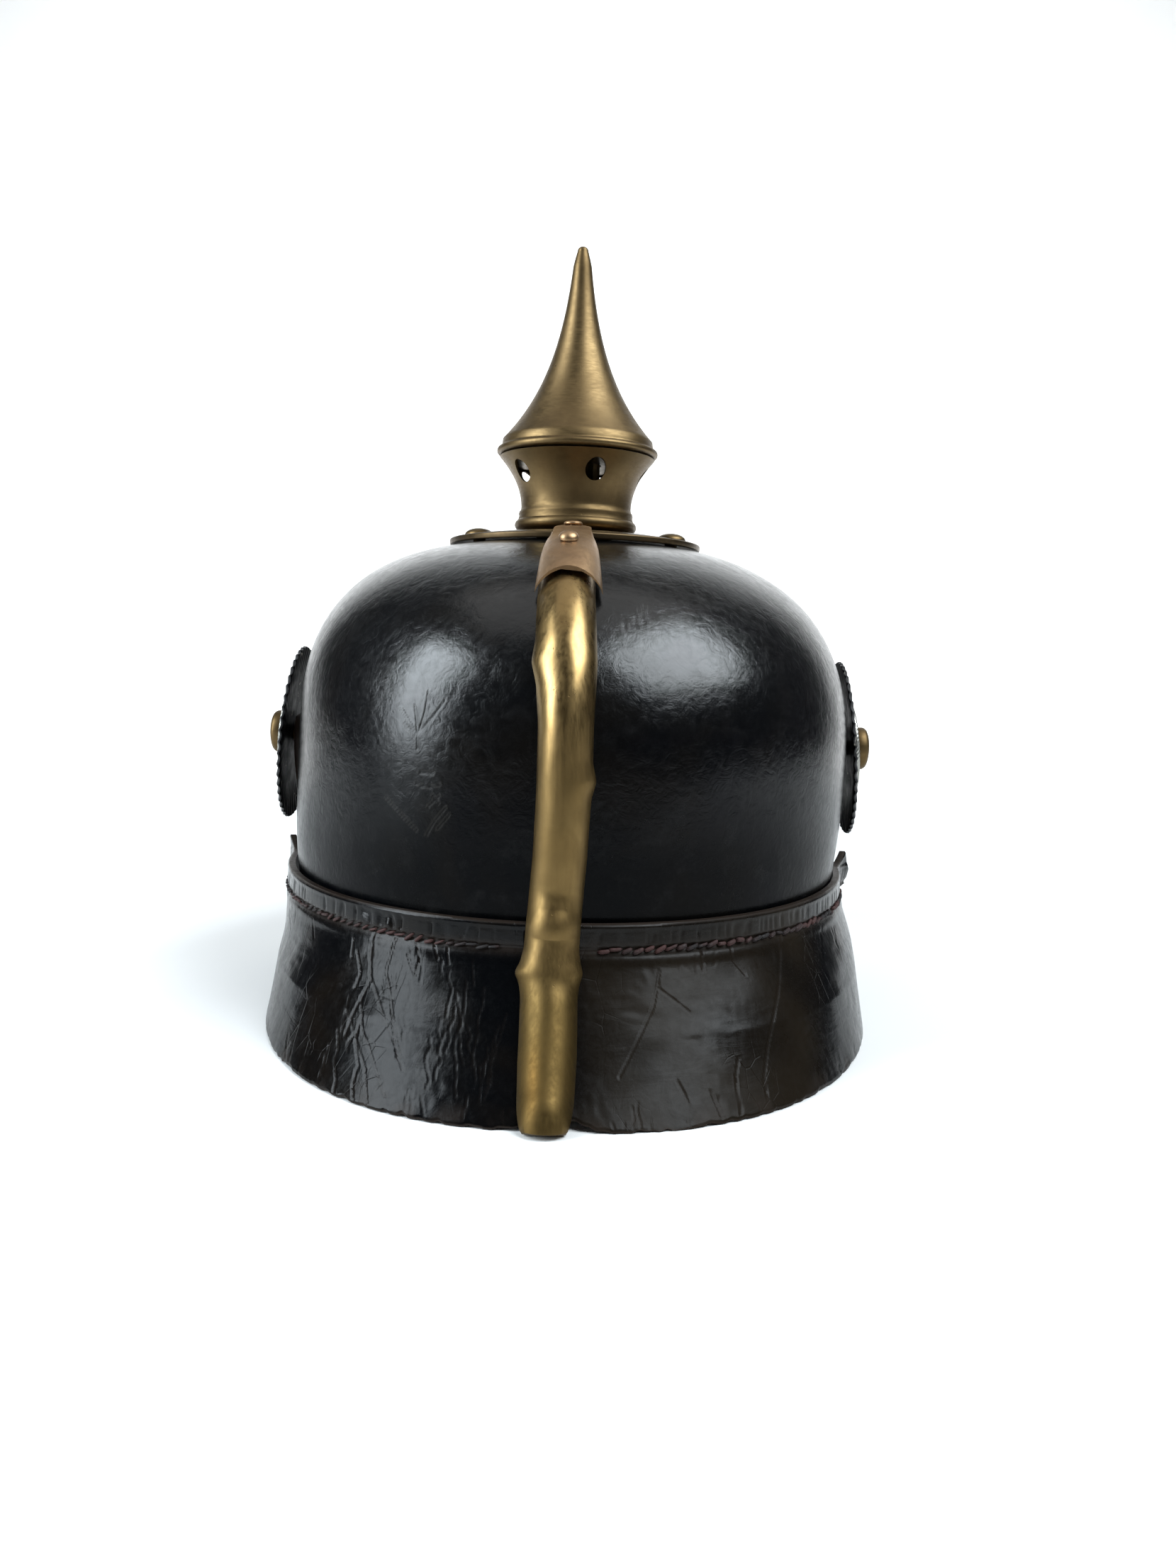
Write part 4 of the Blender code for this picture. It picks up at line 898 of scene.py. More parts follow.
def build_stitches(name, brim, first, last, heft, seed, node):
    """Separate slanted stitches of waxed thread, each a short bent capsule."""
    rng = np.random.default_rng(seed)
    count = int((radians(last) - radians(first)) * SEAM_RADIUS / STITCH_PITCH)
    bends = np.linspace(-1, 1, 9)
    turn = np.linspace(0, 2 * pi, 8, endpoint=False)
    circle = np.stack([np.cos(turn), np.sin(turn)], axis=-1)
    swell = np.sqrt(np.clip(1 - bends ** 6, 0.04, 1))[:, None, None]
    parts = []
    for index in range(count):
        centre = radians(first) + (index + 0.5) * STITCH_PITCH / SEAM_RADIUS
        slant = 0.5 + 0.3 * rng.normal()
        thick = heft * (1 + 0.16 * rng.normal())
        length = STITCH_PITCH * 0.54 + 0.3 * rng.normal()
        lift = 0.2 * rng.normal()
        path = brim_point(centre + bends * length / SEAM_RADIUS,
                          STITCH_Z + lift + bends * slant, 0.0, brim)
        outward = unit(path * (1, 1, 0))
        path += outward * (0.5 * (1 - bends ** 4) - 0.25)[:, None]
        if brim is GUARD:
            path = lean_guard(path)
        side = np.cross(unit(np.gradient(path, axis=0)), outward)
        parts.append((swept(path, outward, side, thick * swell * circle), False))
    store(name, parts, THREAD_LOOK, node, 60)


# ---------------------------------------------------------------- rear spine and clip

def smooth_path(points, count):
    """Evenly spaced points on a smooth curve through the given ones."""
    points = np.array(points, float)
    knots = distances(points)
    padded = np.concatenate([[2 * points[0] - points[1]], points,
                             [2 * points[-1] - points[-2]]])
    result = []
    for where in np.linspace(0, knots[-1], count):
        index = min(np.searchsorted(knots, where, side="right") - 1, len(points) - 2)
        share = (where - knots[index]) / (knots[index + 1] - knots[index])
        a, b, c, d = padded[index:index + 4]
        result.append(0.5 * (2 * b + (c - a) * share + (2 * a - 5 * b + 4 * c - d) * share ** 2
                             + (3 * b - a - 3 * c + d) * share ** 3))
    return np.array(result)


def build_spine():
    """Half-round hollow strip, dented and bulged, hooked under the guard's edge."""
    heights = (143, 138, 131, 123, 114, 104, 93, 82, 71, 62, 55, 50, 46, 42, 32, 25, 18, 12, 7)
    top, normal = spine_station(80.2)
    foot = rear_surface(0.0)
    path = [top + normal * (GAP + 0.1)]
    path += [(0, rear_surface(z) + GAP + (GAP if z < LAP_TOP_Z else 0), z) for z in heights]
    path += [(0, foot + 1.0, 1.5), (0, foot + 0.1, 0.5), (0, foot - 4.0, 0.5)]
    middle = smooth_path(path, 300)
    along = unit(np.gradient(middle, axis=0))
    normal = np.stack([0 * along[:, 0], -along[:, 2], along[:, 1]], axis=-1)
    z = middle[:, 2]
    to_foot = distances(middle)[-1] - distances(middle)
    tall = SPINE_HEIGHT * rounded(np.clip((to_foot - 4) / 8, 0.001, 1))
    wide = 0.72 + 0.28 * rounded(clamp(z / 7))
    kernel = np.hanning(7) / np.hanning(7).sum()
    left, right, sway = (
        np.convolve(np.pad(np.interp(z, *np.array(sizes).T), 3, mode="edge"), kernel, "valid")
        for sizes in (SPINE_HALF_LEFT, SPINE_HALF_RIGHT, SPINE_SWAY))
    middle[:, 0] += sway
    columns = 41
    turn = np.linspace(0, pi, columns)[None, :]
    arc_half = radians(SPINE_ARC)
    lean = arc_half * np.linspace(-1, 1, columns)[None, :]
    arch = (np.cos(lean) - cos(arc_half)) / (1 - cos(arc_half))
    across = -np.sin(lean) / sin(arc_half)
    across = across * np.where(across > 0, left[:, None], right[:, None]) * wide[:, None]

    def face(scale, height):
        flank = points_at(across * scale, 0, 0)
        return middle[:, None] + flank + normal[:, None] * (height[:, None] * arch)[..., None]

    outer = face(1, tall)
    inner = face(1 - SPINE_SHEET / 7.0, np.clip(tall - SPINE_SHEET, 0.0, None))
    dents = 0.22 * lumps(outer, 30, 31) + 0.05 * lumps(outer, 10, 32)
    dents *= np.sin(turn) ** 0.5 * np.interp(to_foot, (10, 24), (0, 1))[:, None]
    outer = outer + unit(outer - middle[:, None]) * (dents - 0.1)[..., None]
    outer[..., 2] = np.maximum(outer[..., 2], 0.15)
    inner[..., 2] = np.maximum(inner[..., 2], 0.6)
    grid = np.concatenate([outer, inner[:, ::-1]], axis=1)
    x, height = grid[..., 0], grid[..., 2]
    stain = bell(height, 12, 7) * bell(x, 3.6, 1.7)
    rim = clamp(1 - np.tile(np.sin(turn), 2) / 0.16)
    # Dirt and painted shade along the flanks' edges, and painted shade over the whole underside.
    grime_and_shade = 0.35 * rim * clamp(0.6 + lumps(grid, 12, 33))
    grime_and_shade[:, columns:] = 0.9
    # dull: painted shade, darker below about 106 mm and darker still below 40 mm; it also
    # roughens the brass there.
    dull = 0.45 * clamp((106 - height) / 24) + 0.5 * clamp((40 - height) / 12)
    store("spine_brass_strip", [(grid, False)], SPINE_LOOK, "rear_spine", 60,
          values={"stain": stain, "grime_and_shade": grime_and_shade, "dull": dull})


def clip_middle(y):
    """Point and normal under the clip's middle, on the plate and then over the spine."""
    if y <= PLATE_RADIUS:
        return np.array((0.0, y, plate_top(y) + GAP)), np.array((0.0, 0.0, 1.0))
    point, normal = spine_station(y)
    edge = plate_top(PLATE_RADIUS) + GAP - skull_top(0, PLATE_RADIUS)
    lift = (SPINE_HEIGHT + 1.7 - edge) * ease(clamp((y - CLIP_CLIMB_START) / CLIP_CLIMB))
    return point + normal * (edge - 0.3 + lift), normal


def clip_pair(share, across):
    """Lower and upper point of the clip, share down it and across from -1 to 1."""
    reach = CLIP_FOOT_Y + 1.0 + 2.4 * abs(across) ** 1.6
    y = CLIP_TOP_Y + (reach - CLIP_TOP_Y) * share
    point, normal = clip_middle(y)
    flare = max(0.0, (y - CLIP_FLARE_Y) / (CLIP_FOOT_Y - CLIP_FLARE_Y))
    half = (CLIP_NARROW + CLIP_WIDENING * flare ** 1.15) / 2
    if y < CLIP_TIP_END:
        half *= sqrt(max(0.02, 1 - ((CLIP_TIP_END - y) / CLIP_TIP) ** 2))
    sag = (SPINE_HEIGHT + 0.9) * flare ** 1.5
    drop = sag * (1 - sqrt(max(0.0, 1 - (across * 0.985) ** 2)))
    crimp = 0.35 * bell(y, CLIP_CRIMP_Y, 2.5)
    low = point + np.array((half * across - 0.7 * flare, 0, 0)) - normal * (drop + crimp)
    return low, low + normal * CLIP_SHEET * (0.45 + 0.55 * sqrt(1 - across ** 4))


def build_clip():
    """Coppery tongue: round top on the plate, arched foot over the spine's head."""
    pairs = np.array([[clip_pair(share, across) for across in np.linspace(-1, 1, 33)]
                      for share in np.linspace(0, 1, 72)])
    low, high = pairs[:, :, 0], pairs[:, :, 1]
    high = high + 0.09 * lumps(high, 9, 41)[..., None] * np.array((0, 0.5, 0.8))
    grid = np.concatenate([high, low[:, ::-1]], axis=1)
    store("clip_copper", [(grid, False)], COPPER_LOOK, "spine_clip", 50)
    spot, normal = clip_middle(CLIP_RIVET_Y)
    turned_piece("clip_rivet_domed", dome(2.9, 2.4, 1.3, 9.5), 40, COPPER_LOOK,
                 "clip_rivet_lower", spot + normal * (CLIP_SHEET + 0.1), normal)
    top = plate_top(STUD_CIRCLE) + GAP + CLIP_SHEET + 0.05
    turned_piece("clip_rivet_flat", dome(3.1, 1.5, 1.3, 14.0), 40, COPPER_LOOK,
                 "clip_rivet_upper", (0, STUD_CIRCLE, top))


# ---------------------------------------------------------------- plate, neck and spike

def build_plate():
    """Shallow plate whose edge is rolled under, and its three studs."""
    radii = np.linspace(PLATE_BORE, PLATE_RADIUS - 1.0, 22)
    outline = [(r, plate_top(r)) for r in radii]
    outline += arc(PLATE_RADIUS - 0.1, PLATE_EDGE_Z - 0.5, 0.6, 75, -5, 5)
    outline += arc(PLATE_RADIUS - 0.15, PLATE_EDGE_Z - 1.45, 0.55, -5, -110, 6)
    outline += [(r, plate_top(r) - PLATE_SHEET) for r in radii[::-1]]
    turned_piece("plate_brass", outline, 160, PLATE_LOOK, "base_plate")
    seat = plate_top(STUD_CIRCLE) + 0.1
    for name, x, y in (("left", STUD_CIRCLE, 0), ("right", -STUD_CIRCLE, 0),
                       ("front", 0, -STUD_CIRCLE)):
        turned_piece("stud_dome_" + name, dome(5.2, 2.9, 2.2, 12.0), 44, AGED_LOOK,
                     "stud_" + name, (x, y, seat))


def neck_radius(z):
    return NECK_WAIST_RADIUS + NECK_FLARE * (z - NECK_WAIST_Z) ** 2


def cut_holes(piece, holes):
    """Cut round holes, each (middle, direction, radius, length), and keep the result."""
    bm = bmesh.new()
    for middle, direction, radius, length in holes:
        swing = Vector((0, 0, 1)).rotation_difference(Vector(direction)).to_matrix()
        bmesh.ops.create_cone(bm, cap_ends=True, segments=40, radius1=radius * MM,
                              radius2=radius * MM, depth=length * MM,
                              matrix=Matrix.Translation(Vector(middle) * MM)
                              @ swing.to_4x4())
    mesh = bpy.data.meshes.new("cutter")
    bm.to_mesh(mesh)
    bm.free()
    cutter = add_object("cutter", mesh)
    cut = piece.modifiers.new("holes", "BOOLEAN")
    cut.operation, cut.solver, cut.object = "DIFFERENCE", "EXACT", cutter
    bpy.context.view_layer.update()
    graph = bpy.context.evaluated_depsgraph_get()
    piece.data = bpy.data.meshes.new_from_object(piece.evaluated_get(graph))
    piece.modifiers.clear()
    bpy.data.objects.remove(cutter)
    piece.data.set_sharp_from_angle(angle=radians(38))


def build_neck():
    """Flared neck with a bead at its foot, a bridge for the bush and five air holes."""
    crest, bridge_top = neck_radius(NECK_TOP_Z), NECK_BRIDGE_Z + 1.2
    outline = arc(19.6, 163.2, 1.95, -75, 62, 14)
    outline += [(20.05, 166.3), (20.25, 167.0), (20.05, 167.8), (19.55, 168.4)]
    outline += [(neck_radius(z), z) for z in np.linspace(169.4, NECK_TOP_Z - 0.7, 26)]
    outline += [(crest - 0.15, NECK_TOP_Z - 0.15), (crest - 0.6, NECK_TOP_Z),
                (crest - NECK_WALL, NECK_TOP_Z - 0.3),
                (neck_radius(bridge_top) - NECK_WALL, bridge_top),
                (BUSH_RADIUS + GAP, bridge_top), (BUSH_RADIUS + GAP, NECK_BRIDGE_Z)]
    outline += [(neck_radius(z) - NECK_WALL, z) for z in np.linspace(NECK_BRIDGE_Z, 170, 12)]
    outline += [(18.4, NECK_WAIST_Z - 1), (18.6, NECK_FOOT_Z + 0.2), (19.0, NECK_FOOT_Z)]
    neck = turned_piece("neck_brass", outline, 140, AGED_LOOK, "spike_neck")
    holes = []
    for index in range(VENT_COUNT):
        turn = radians(VENT_FIRST + index * 360 / VENT_COUNT)
        aim = (cos(turn), sin(turn), 0)
        reach = neck_radius(VENT_Z)
        holes.append(((aim[0] * reach, aim[1] * reach, VENT_Z), aim, VENT_RADIUS, 14))
    cut_holes(neck, holes)


def cone_radius(z):
    return CONE_START_RADIUS * exp(-(z - CONE_START_Z) / CONE_TAPER)


def build_spike():
    outline = [(STEM_RADIUS + GAP, CONE_FOOT_Z), (26.6, CONE_FOOT_Z)]
    outline += arc(CONE_RIM_RADIUS - 1.35, CONE_FOOT_Z + 1.4, 1.35, -80, 88, 14)
    outline += [(26.75, CONE_FOOT_Z + 3.0), (26.6, CONE_FOOT_Z + 3.5)]
    outline += [(cone_radius(z), z) for z in np.linspace(192.6, CONE_NECK_Z, 60)]
    neck = cone_radius(CONE_NECK_Z)
    outline += [(neck + (TIP_RADIUS - neck) * share ** 1.1, CONE_NECK_Z + 5.2 * share)
                for share in np.linspace(0.15, 1, 8)]
    outline += round_top(TIP_RADIUS, CONE_NECK_Z + 5.2, 1.6, 0.2, 7)
    outline += [(0.0, 240.0)]
    outline += [(cone_radius(z) - CONE_WALL, z) for z in np.linspace(232, 196, 10)]
    outline += [(24.0, CONE_FOOT_Z + 3.6), (24.0, CONE_FOOT_Z + CONE_WALL),
                (STEM_RADIUS + GAP, CONE_FOOT_Z + CONE_WALL)]
    turned_piece("cone_brass", outline, 140, AGED_LOOK, "spike_cone", body="spike_turn")


# ---------------------------------------------------------------- cockades

def fluted(radius, height, turn):
    """Pressed flutes on a disc's rim and round its middle, and a scalloped edge."""
    share = clamp((radius - FLUTE_START) / (COCKADE_RADIUS - FLUTE_START))
    inner = clamp((14.0 - radius) / 4) * (radius > 9)
    flute = np.abs(np.sin(turn * 24))
    wave = flute * share + 0.6 * np.abs(np.sin(turn * 18)) * inner
    return radius - 0.35 * flute * (share > 0.98), height - 0.55 * wave * (height > 0)


def corded(radius, height, turn):
    around = np.arctan2(height - CORD_HEIGHT, radius - CORD_RADIUS)
    twist = 1 + 0.2 * np.abs(np.sin(2 * around + turn * 34))
    return (CORD_RADIUS + (radius - CORD_RADIUS) * twist,
            CORD_HEIGHT + (height - CORD_HEIGHT) * twist)


def scalloped(radius, height, turn):
    wave = clamp((radius - 6) / 3) * np.cos(turn * 18)
    return radius + 0.5 * wave, height + 0.22 * wave


def build_cockades():
    """On each side a fluted disc, a corded ring, a scalloped washer and a domed screw."""
    bore = SHANK_RADIUS + 0.7
    disc = [(bore, 2.0), (9.0, 2.0), (10, 2.1), (11.5, 2.2), (13.3, 2.4), (17.2, 2.5)]
    disc += [(r, 2.5 - 1.3 * ((r - 17.2) / 13) ** 1.3) for r in np.linspace(18, 30.2, 14)]
    disc += [(COCKADE_RADIUS, 0.9), (COCKADE_RADIUS, 0.45)]
    back = [(r, 0.2 + 1.15 * ((31 - r) / 14) ** 0.9) for r in np.linspace(30.5, 17, 8)]
    back += [(bore, 1.35)]
    cord = arc(CORD_RADIUS, CORD_HEIGHT, 0.8, 0, 345, 23)
    washer = [(bore, 2.8), (7.0, 2.8), (10.0, 2.95), (10.4, 3.25), (10.0, 3.6), (8.8, 3.8),
              (6.5, 3.7), (bore, 3.6)]
    boss = [(0, -14.5), (SHANK_RADIUS, -14.5), (SHANK_RADIUS, -1.2), (6.6, -1.2),
            (7.2, -0.9), (BOSS_RADIUS, -0.2), (BOSS_RADIUS, 2.1), (7.4, 2.6)]
    boss += round_top(7.2, 2.75, 1.65, 0.1, 12)
    for name, side in SIDES:
        place = (side * COCKADE_SEAT_X, 0, POST_Z)
        aim = (side * cos(COCKADE_TILT), COCKADE_TURN, sin(COCKADE_TILT))
        turned_piece("cockade_disc_" + name, disc + back, 384, ENAMEL_LOOK,
                     "cockade_" + name, place, aim, fluted, len(back))
        turned_piece("cockade_cord_" + name, cord, 420, SILVER_LOOK,
                     "cockade_ring_" + name, place, aim, corded)
        turned_piece("cockade_scallop_" + name, washer, 216, SILVER_LOOK,
                     "cockade_washer_" + name, place, aim, scalloped)
        turned_piece("side_boss_" + name, boss, 72, AGED_LOOK, "side_screw_" + name,
                     (side * (COCKADE_SEAT_X + 5.2), 0, POST_Z), (side, 0, 0))


# ---------------------------------------------------------------- chin strap

def strap_centre(turn, side, layer):
    """Middle line of a strap half; turn is 0 at the post and 1 at the front."""
    grow = STRAP_THICKNESS / 2 + layer - 1.2
    x = (STRAP_HALF_WIDTH + grow) * np.cos(turn * pi / 2)
    y = -(STRAP_REACH + grow) * np.sin(turn * pi / 2)
    forward = np.minimum(-y / STRAP_DROP_END, 1.0)
    drop = (POST_Z - STRAP_FRONT_Z) * np.sqrt(np.clip(1 - (1 - forward) ** 3, 0, None))
    return np.stack([side * x, y, POST_Z - drop], axis=-1)


def strap_section():
    """Rounded strip with a pressed crease near each edge."""
    half, thick, corner = STRAP_WIDTH / 2, STRAP_THICKNESS / 2, 0.8
    outline = []
    for across, up, first in CORNERS:
        outline += arc(across * (half - corner), up * (thick - corner), corner, first,
                       first + 90, 4)
        if first == 0:
            outline += [(half - 1.5, thick), (half - 1.8, thick - 0.3), (half - 2.1, thick),
                        (0, thick + 0.12), (-half + 2.1, thick), (-half + 1.8, thick - 0.3),
                        (-half + 1.5, thick)]
    return np.array(outline)


def build_strap():
    """Two strap halves that lap at the front, the left one outside, and their buckles."""
    past_front = 1 + STRAP_OVERLAP / (STRAP_HALF_WIDTH * pi / 2)
    outline = strap_section()
    turns = np.concatenate([STRAP_LIFT_TURN * np.linspace(0, 1, 110) ** 1.8,
                            np.linspace(STRAP_LIFT_TURN, past_front, 80)[1:]])
    lifted = STRAP_LAYER * ease(clamp((turns - STRAP_LIFT_TURN) / 0.1))
    to_tip = (past_front - turns) * STRAP_HALF_WIDTH * pi / 2
    narrow = np.sqrt(np.clip(1 - (1 - clamp(to_tip / 6)) ** 2, 0.12, 1))[:, None]
    for name, side in SIDES:
        layer = lifted * (side > 0)
        middle = strap_centre(turns, side, layer)
        along = unit(strap_centre(turns + 0.002, side, layer) - middle)
        outward = middle * (1 / STRAP_HALF_WIDTH ** 2, 1 / STRAP_REACH ** 2, 0)
        outward = square_to(outward, along)
        wavy = 0.12 * lumps(middle, 14, 51 + side)[:, None]
        sections = np.stack([outline[:, 0] * narrow, outline[:, 1] + wavy], axis=-1)
        grid = swept(middle, np.cross(along, outward), outward, sections)
        tabs = [grid[:1] * (1, 0.7, 1) + (0, 0, STRAP_TAB),
                grid[:1] + (0, 0, STRAP_TAB / 2)]
        store("strap_leather_" + name, [(np.concatenate(tabs + [grid]), False)], STRAP_LOOK,
              "chin_strap_" + name, 60, "chin_strap")
        build_buckle(name, side)


def build_buckle(name, side):
    """Rectangular slide with rounded corners, bent from flat brass."""
    turn = pi / 2 - BUCKLE_X * side / STRAP_HALF_WIDTH
    x, y = STRAP_HALF_WIDTH * cos(turn), -STRAP_REACH * sin(turn)
    normal = unit(np.array((x / STRAP_HALF_WIDTH ** 2, y / STRAP_REACH ** 2, 0)))
    along = np.array((-normal[1], normal[0], 0))
    middle = np.array((x, y, STRAP_FRONT_Z)) + normal * (STRAP_LAYER / 2)
    half = np.array(((STRAP_LAYER + STRAP_THICKNESS) / 2 + 0.8, STRAP_WIDTH / 2 + 0.7))
    loop = []
    for across, up, first in CORNERS:
        loop += [(across * (half[0] - BUCKLE_CORNER) + BUCKLE_CORNER * cos(turn),
                  up * (half[1] - BUCKLE_CORNER) + BUCKLE_CORNER * sin(turn))
                 for turn in np.radians(np.array((0, 22, 45, 68, 90)) + first)]
    loop = np.array(loop)
    away = loop / half
    away = away / np.abs(away).max(axis=1, keepdims=True)
    band = np.array(((-1, 0), (-1, 0.8), (-0.9, 1.1), (-0.6, 1.2), (0, 1.28), (0.6, 1.2),
                     (0.9, 1.1), (1, 0.8), (1, 0)))
    path = middle + along * band[:, :1] * BUCKLE_LENGTH / 2
    sections = loop + away * band[:, 1, None, None]
    upward = np.array((0, 0, 1)) + 0 * path
    store("buckle_brass_" + name, [(swept(path, normal + 0 * path, upward, sections), True)],
          AGED_LOOK, "strap_buckle_" + name, 50, "buckle_" + name)


# ---------------------------------------------------------------- front plate

def shield_half_width(share):
    return 4.0 + 33.0 * np.sin(np.minimum(share * 1.25, 1) * pi / 2) ** 0.8 \
        - 4.0 * np.clip(share - 0.8, 0, None)


def build_shield():
    """Plain pressed shield with a raised border and a fan of rays round a boss."""
    share = np.linspace(0, 1, 96)[:, None]
    side = np.linspace(-1, 1, 96)[None, :]
    half_width, tall = shield_half_width(share), SHIELD_HIGH_Z - SHIELD_LOW_Z
    x, z = side * half_width, SHIELD_LOW_Z + tall * share + 0 * side
    to_edge = np.minimum((1 - np.abs(side)) * half_width,
                         np.minimum(share, 1 - share) * tall)
    from_boss = np.hypot(x, z - SHIELD_BOSS_Z)
    ray = np.abs(np.sin(SHIELD_RAYS * np.arctan2(x, z - SHIELD_BOSS_Z)))
    fan = ray * clamp((from_boss - 11) / 4) * clamp((to_edge - 4) / 3)
    boss = 2.2 * np.sqrt(clamp(1 - (from_boss / 9.5) ** 2)) + 0.5 * bell(from_boss, 11, 0.7)
    screw = np.hypot(np.abs(x) - SHIELD_SCREW_X, z - SHIELD_SCREW_Z)
    seat = clamp((screw - 3.4) / 1.2)
    rise = 2.3 + (0.9 * bell(to_edge, 2.2, 1.1) + 0.7 * fan + boss) * seat
    base = skull_front(x, z)
    normal = normals_of(base)
    normal *= -np.sign(normal[..., 1:2])
    outer, inner = base + normal * rise[..., None], base + normal * 1.3
    grid = np.concatenate([outer, inner[:, ::-1]], axis=1)
    store("shield_brass", [(grid, False)], BRIGHT_LOOK, "front_plate", 50)
    for name, sign in SIDES:
        x, z = sign * SHIELD_SCREW_X, SHIELD_SCREW_Z
        across = skull_front(x + 0.5, z) - skull_front(x - 0.5, z)
        upward = skull_front(x, z + 0.5) - skull_front(x, z - 0.5)
        aim = unit(np.cross(across, upward))
        turned_piece("plate_screw_dome_" + name, dome(3.2, 1.9, 1.6, 10.5), 40, BRIGHT_LOOK,
                     "plate_screw_" + name, skull_front(x, z) + aim * 3.3, aim)


# ---------------------------------------------------------------- liner

def build_sweatband():
    """Leather band with a rolled lower edge and a stitch line."""
    angle = np.linspace(0, 2 * pi, 360, endpoint=False)[None, :]
    z = np.linspace(BAND_LOW_Z + 0.6, BAND_HIGH_Z, 22)[:, None]
    outer_face = -SKULL_THICKNESS - GAP
    outer = skull_point(angle, z, outer_face)
    inner = skull_point(angle, z, outer_face - LINER_SHEET)
    stitch = 0.28 * bell(z, 68, 0.7) * (0.6 + 0.4 * np.sin(angle * 150))
    wave = np.clip(0.16 * lumps(inner, 16, 61) - stitch, -0.4, 0.25)
    inner = inner + unit(inner - outer) * wave[..., None]
    low = (outer[:1] + inner[:1]) / 2 - (0, 0, 0.6)
    grid = np.concatenate([outer, inner[::-1], low])
    store("sweatband_leather", [(grid, True)], LINER_LOOK, "sweatband", 60)


def finger_leather(angle, z):
    """Inner and outer points of the fingers' leather, which leans in and waves."""
    share = (z - BAND_LOW_Z) / (LINER_TOP_Z - BAND_LOW_Z)
    offset = -(SKULL_THICKNESS + GAP + 1.5 * LINER_SHEET + LINER_SLACK) \
        - FINGER_LEAN * np.sin(np.minimum(share * 2, 1) * pi / 2)
    axes = [axis + offset for axis in skull_axes(z)]
    middle = points_at(*superellipse(angle, *axes, PLAN_POWER), z)
    soft = 0.35 * (1 + lumps(middle, 20, 62) * clamp((z - 60) / 30))[..., None]
    flat = unit(middle * (1, 1, 0))
    return middle - flat * (LINER_SHEET / 2 + soft), middle + flat * (LINER_SHEET / 2 - soft)


def build_fingers():
    """Soft fingers that lean inwards, on a band behind the sweatband."""
    angle = np.linspace(0, 2 * pi, LINER_FINGERS * 40, endpoint=False)[None, :]
    inner, outer = finger_leather(angle, np.linspace(BAND_LOW_Z + 1, FINGER_ROOT_Z, 30)[:, None])
    parts = [(np.concatenate([inner, outer[::-1]]), True)]
    z = np.linspace(FINGER_ROOT_Z, LINER_TOP_Z, 44)[:, None]
    rise = (z - FINGER_ROOT_Z) / (LINER_TOP_Z - FINGER_ROOT_Z)
    tip = np.sqrt(np.clip(1 - (np.clip(rise - 0.86, 0, None) / 0.14) ** 2, 0.02, 1))
    narrowing = 1 - 0.13 * clamp(rise / 0.12) ** 0.5 - 0.33 * rise
    side = np.linspace(-1, 1, 37)[None, :]
    curl = points_at(0, 0, 1.4 * rise ** 2 * side ** 2)
    for index in range(LINER_FINGERS):
        centre = 2 * pi * (index + 0.5) / LINER_FINGERS
        angle = centre + pi / LINER_FINGERS * narrowing * tip * side
        inner, outer = finger_leather(angle, z)
        grid = np.concatenate([inner + curl, (outer + curl)[:, ::-1]], axis=1)
        parts.append((grid, False))
    store("liner_leather_fingers", parts, LINER_LOOK, "liner_fingers", 60)


def dress_cad_nodes():
    """Finishes for the CAD nodes that are shown as they are."""
    finishes = {"crown_disc": STRAP_LOOK, "neck_bush": AGED_LOOK, "spike_stem": AGED_LOOK}
    for name in ("stud_washer_left", "stud_washer_right", "stud_washer_front",
                 "stud_washer_rear", "side_nut_left", "side_nut_right", "plate_nut_left",
                 "plate_nut_right"):
        finishes[name] = STEEL_LOOK
    for name, (material, _) in finishes.items():
        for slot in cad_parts[name].material_slots:
            slot.material = material


# ---------------------------------------------------------------- stage, light, camera

def build_floor():
    """Pale sweep: flat under the helmet, curving up into a wall in front of the visor."""
    near, wall, bend, height, half_width = 2.6, -1.7, 0.7, 2.2, 2.6
    level = -0.0003
    outline = [(near, level), (wall + bend, level)]
    outline += [(wall + bend - bend * sin(t), level + bend - bend * cos(t))
                for t in (pi / 2 * step / 24 for step in range(1, 25))]
    outline.append((wall, height))
    points = [(x, y, z) for y, z in outline for x in (-half_width, half_width)]
    mesh = bpy.data.meshes.new("floor")
    mesh.from_pydata(points, [], grid_faces(len(outline), 2, columns_meet=False).tolist())
    mesh.shade_smooth()
    mesh.materials.append(floor_paint())
    add_object("floor", mesh)


def add_light(name, azimuth, elevation, distance, width, height, power, colour,
              target=(0, 0, 0.1)):
    """Soft rectangular light aimed at a target; azimuth is from +Y towards +X."""
    light = bpy.data.lights.new(name, "AREA")
    light.shape, light.size, light.size_y = "RECTANGLE", width, height
    light.energy, light.color = power, colour
    lamp = add_object(name, light)
    flat = cos(radians(elevation))
    away = Vector((sin(radians(azimuth)) * flat, cos(radians(azimuth)) * flat,
                   sin(radians(elevation))))
    lamp.location = Vector((0, 0, 0.1)) + away * distance
    back = (lamp.location - Vector(target)).normalized()
    lamp.rotation_euler = back.to_track_quat("Z", "Y").to_euler()


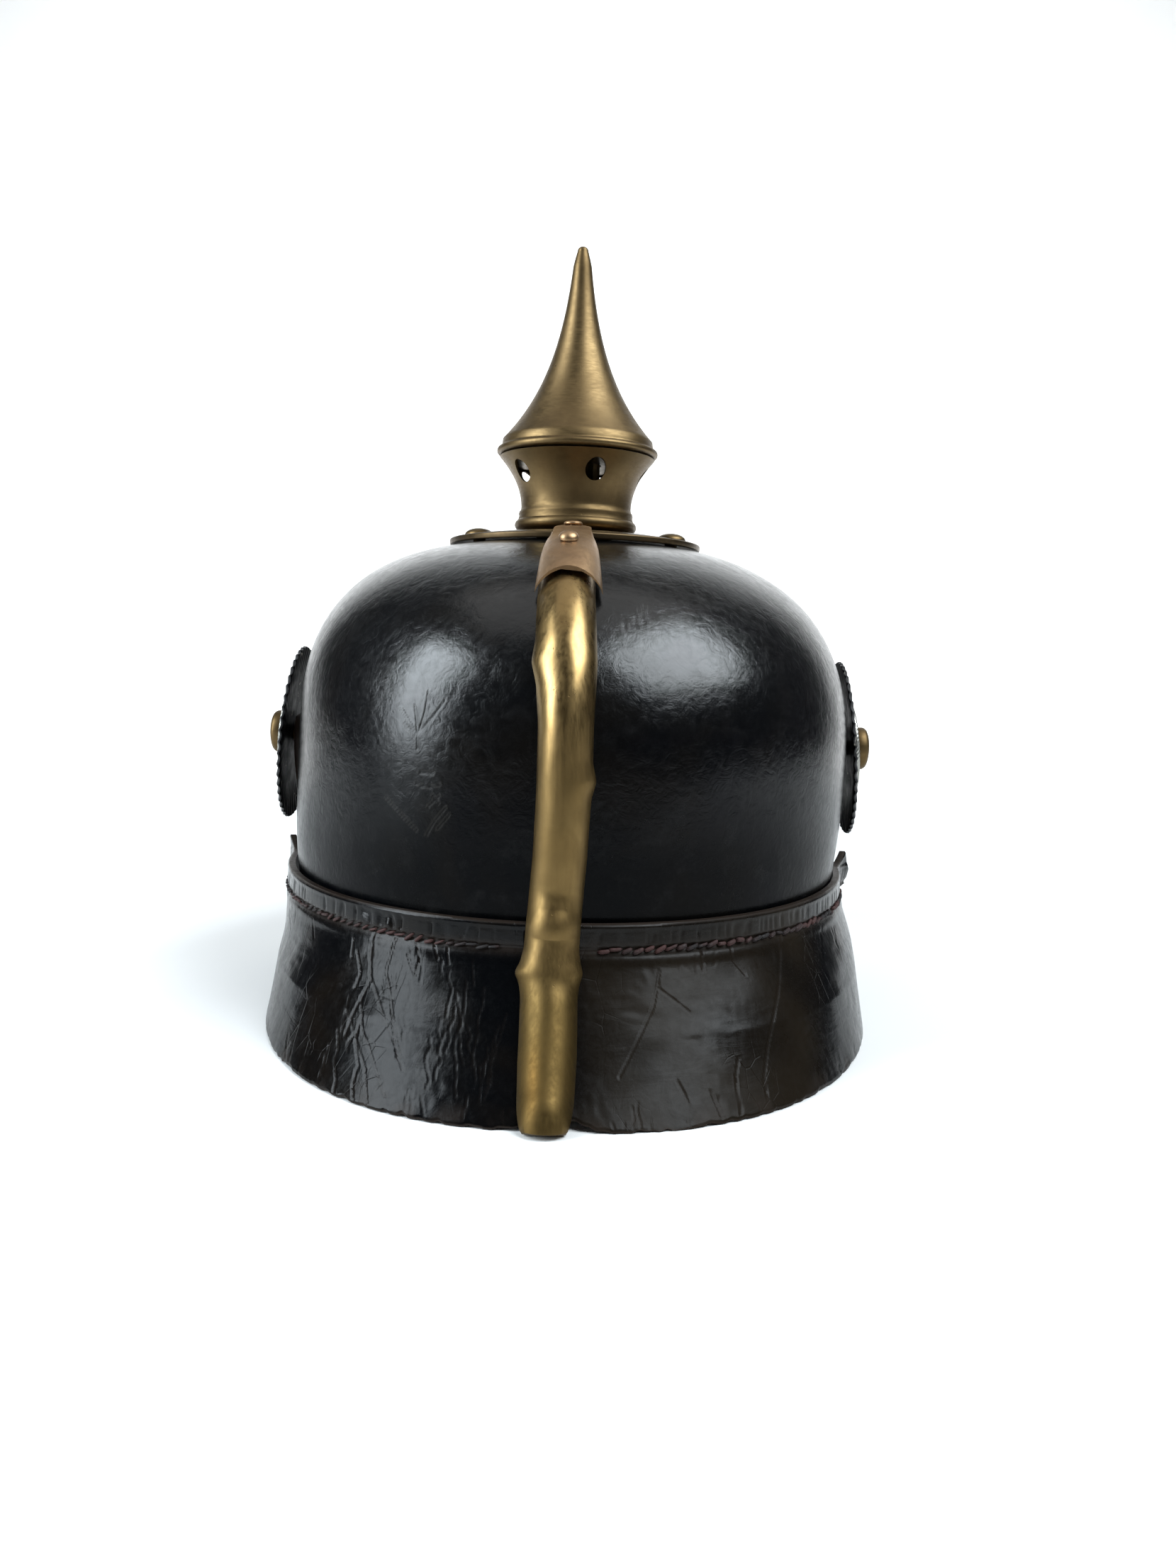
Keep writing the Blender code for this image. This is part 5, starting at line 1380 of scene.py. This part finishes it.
def build_lights():
    add_light("window_left", 69, 26, 1.5, 0.62, 1.35, 36, (0.86, 0.94, 1.0))
    add_light("window_right", -63, 52, 1.5, 1.10, 0.90, 33, (0.88, 0.95, 1.0))
    add_light("backdrop_wash", 180, 40, 0.9, 2.4, 0.8, 20, (1.0, 1.0, 1.0), (0, -1.7, 0.3))
    add_light("ceiling", 180, 84, 2.3, 2.2, 1.6, 9, (1.0, 0.99, 0.97))
    world = bpy.data.worlds.new("room")
    bpy.context.scene.world = world
    world.use_nodes = True
    background = world.node_tree.nodes["Background"]
    background.inputs["Color"].default_value = (0.97, 0.98, 1.0, 1.0)
    background.inputs["Strength"].default_value = 0.06
    bpy.context.scene.view_settings.view_transform = "Standard"


def build_camera():
    """Level with the skull, close behind the helmet, tipped down and slightly rolled."""
    distance, height, aside = 0.4328, 0.118, -0.00712
    pitch, roll, yaw = radians(6.12), radians(1.68), radians(0.35)
    forward = Vector((0, -cos(pitch), -sin(pitch)))
    right = Vector((-1, 0, 0))
    up = right.cross(forward)
    across = right * cos(roll) + up * sin(roll)
    upward = -right * sin(roll) + up * cos(roll)
    data = bpy.data.cameras.new("camera")
    data.sensor_fit, data.sensor_width, data.lens = "HORIZONTAL", 36.0, 36.67
    data.clip_start = 0.01
    camera = add_object("camera", data)
    turn = Matrix((across, upward, -forward)).transposed().to_4x4()
    camera.matrix_world = Matrix.Rotation(yaw, 4, "Z") \
        @ Matrix.Translation((aside, distance, height)) @ turn
    bpy.context.scene.camera = camera


build_camera()
build_lights()
build_floor()
build_skull()
build_guard()
build_visor()
build_visor_trim()
build_stitches("guard_stitches_left", GUARD, 9, 83, 0.42, 71, "guard_thread_left")
build_stitches("guard_stitches_right", GUARD, 97, 171, 0.6, 72, "guard_thread_right")
build_stitches("visor_stitches", VISOR, 199, 341, 0.5, 73, "visor_thread")
build_spine()
build_clip()
build_plate()
build_neck()
build_spike()
build_cockades()
build_strap()
build_shield()
build_sweatband()
build_fingers()
dress_cad_nodes()
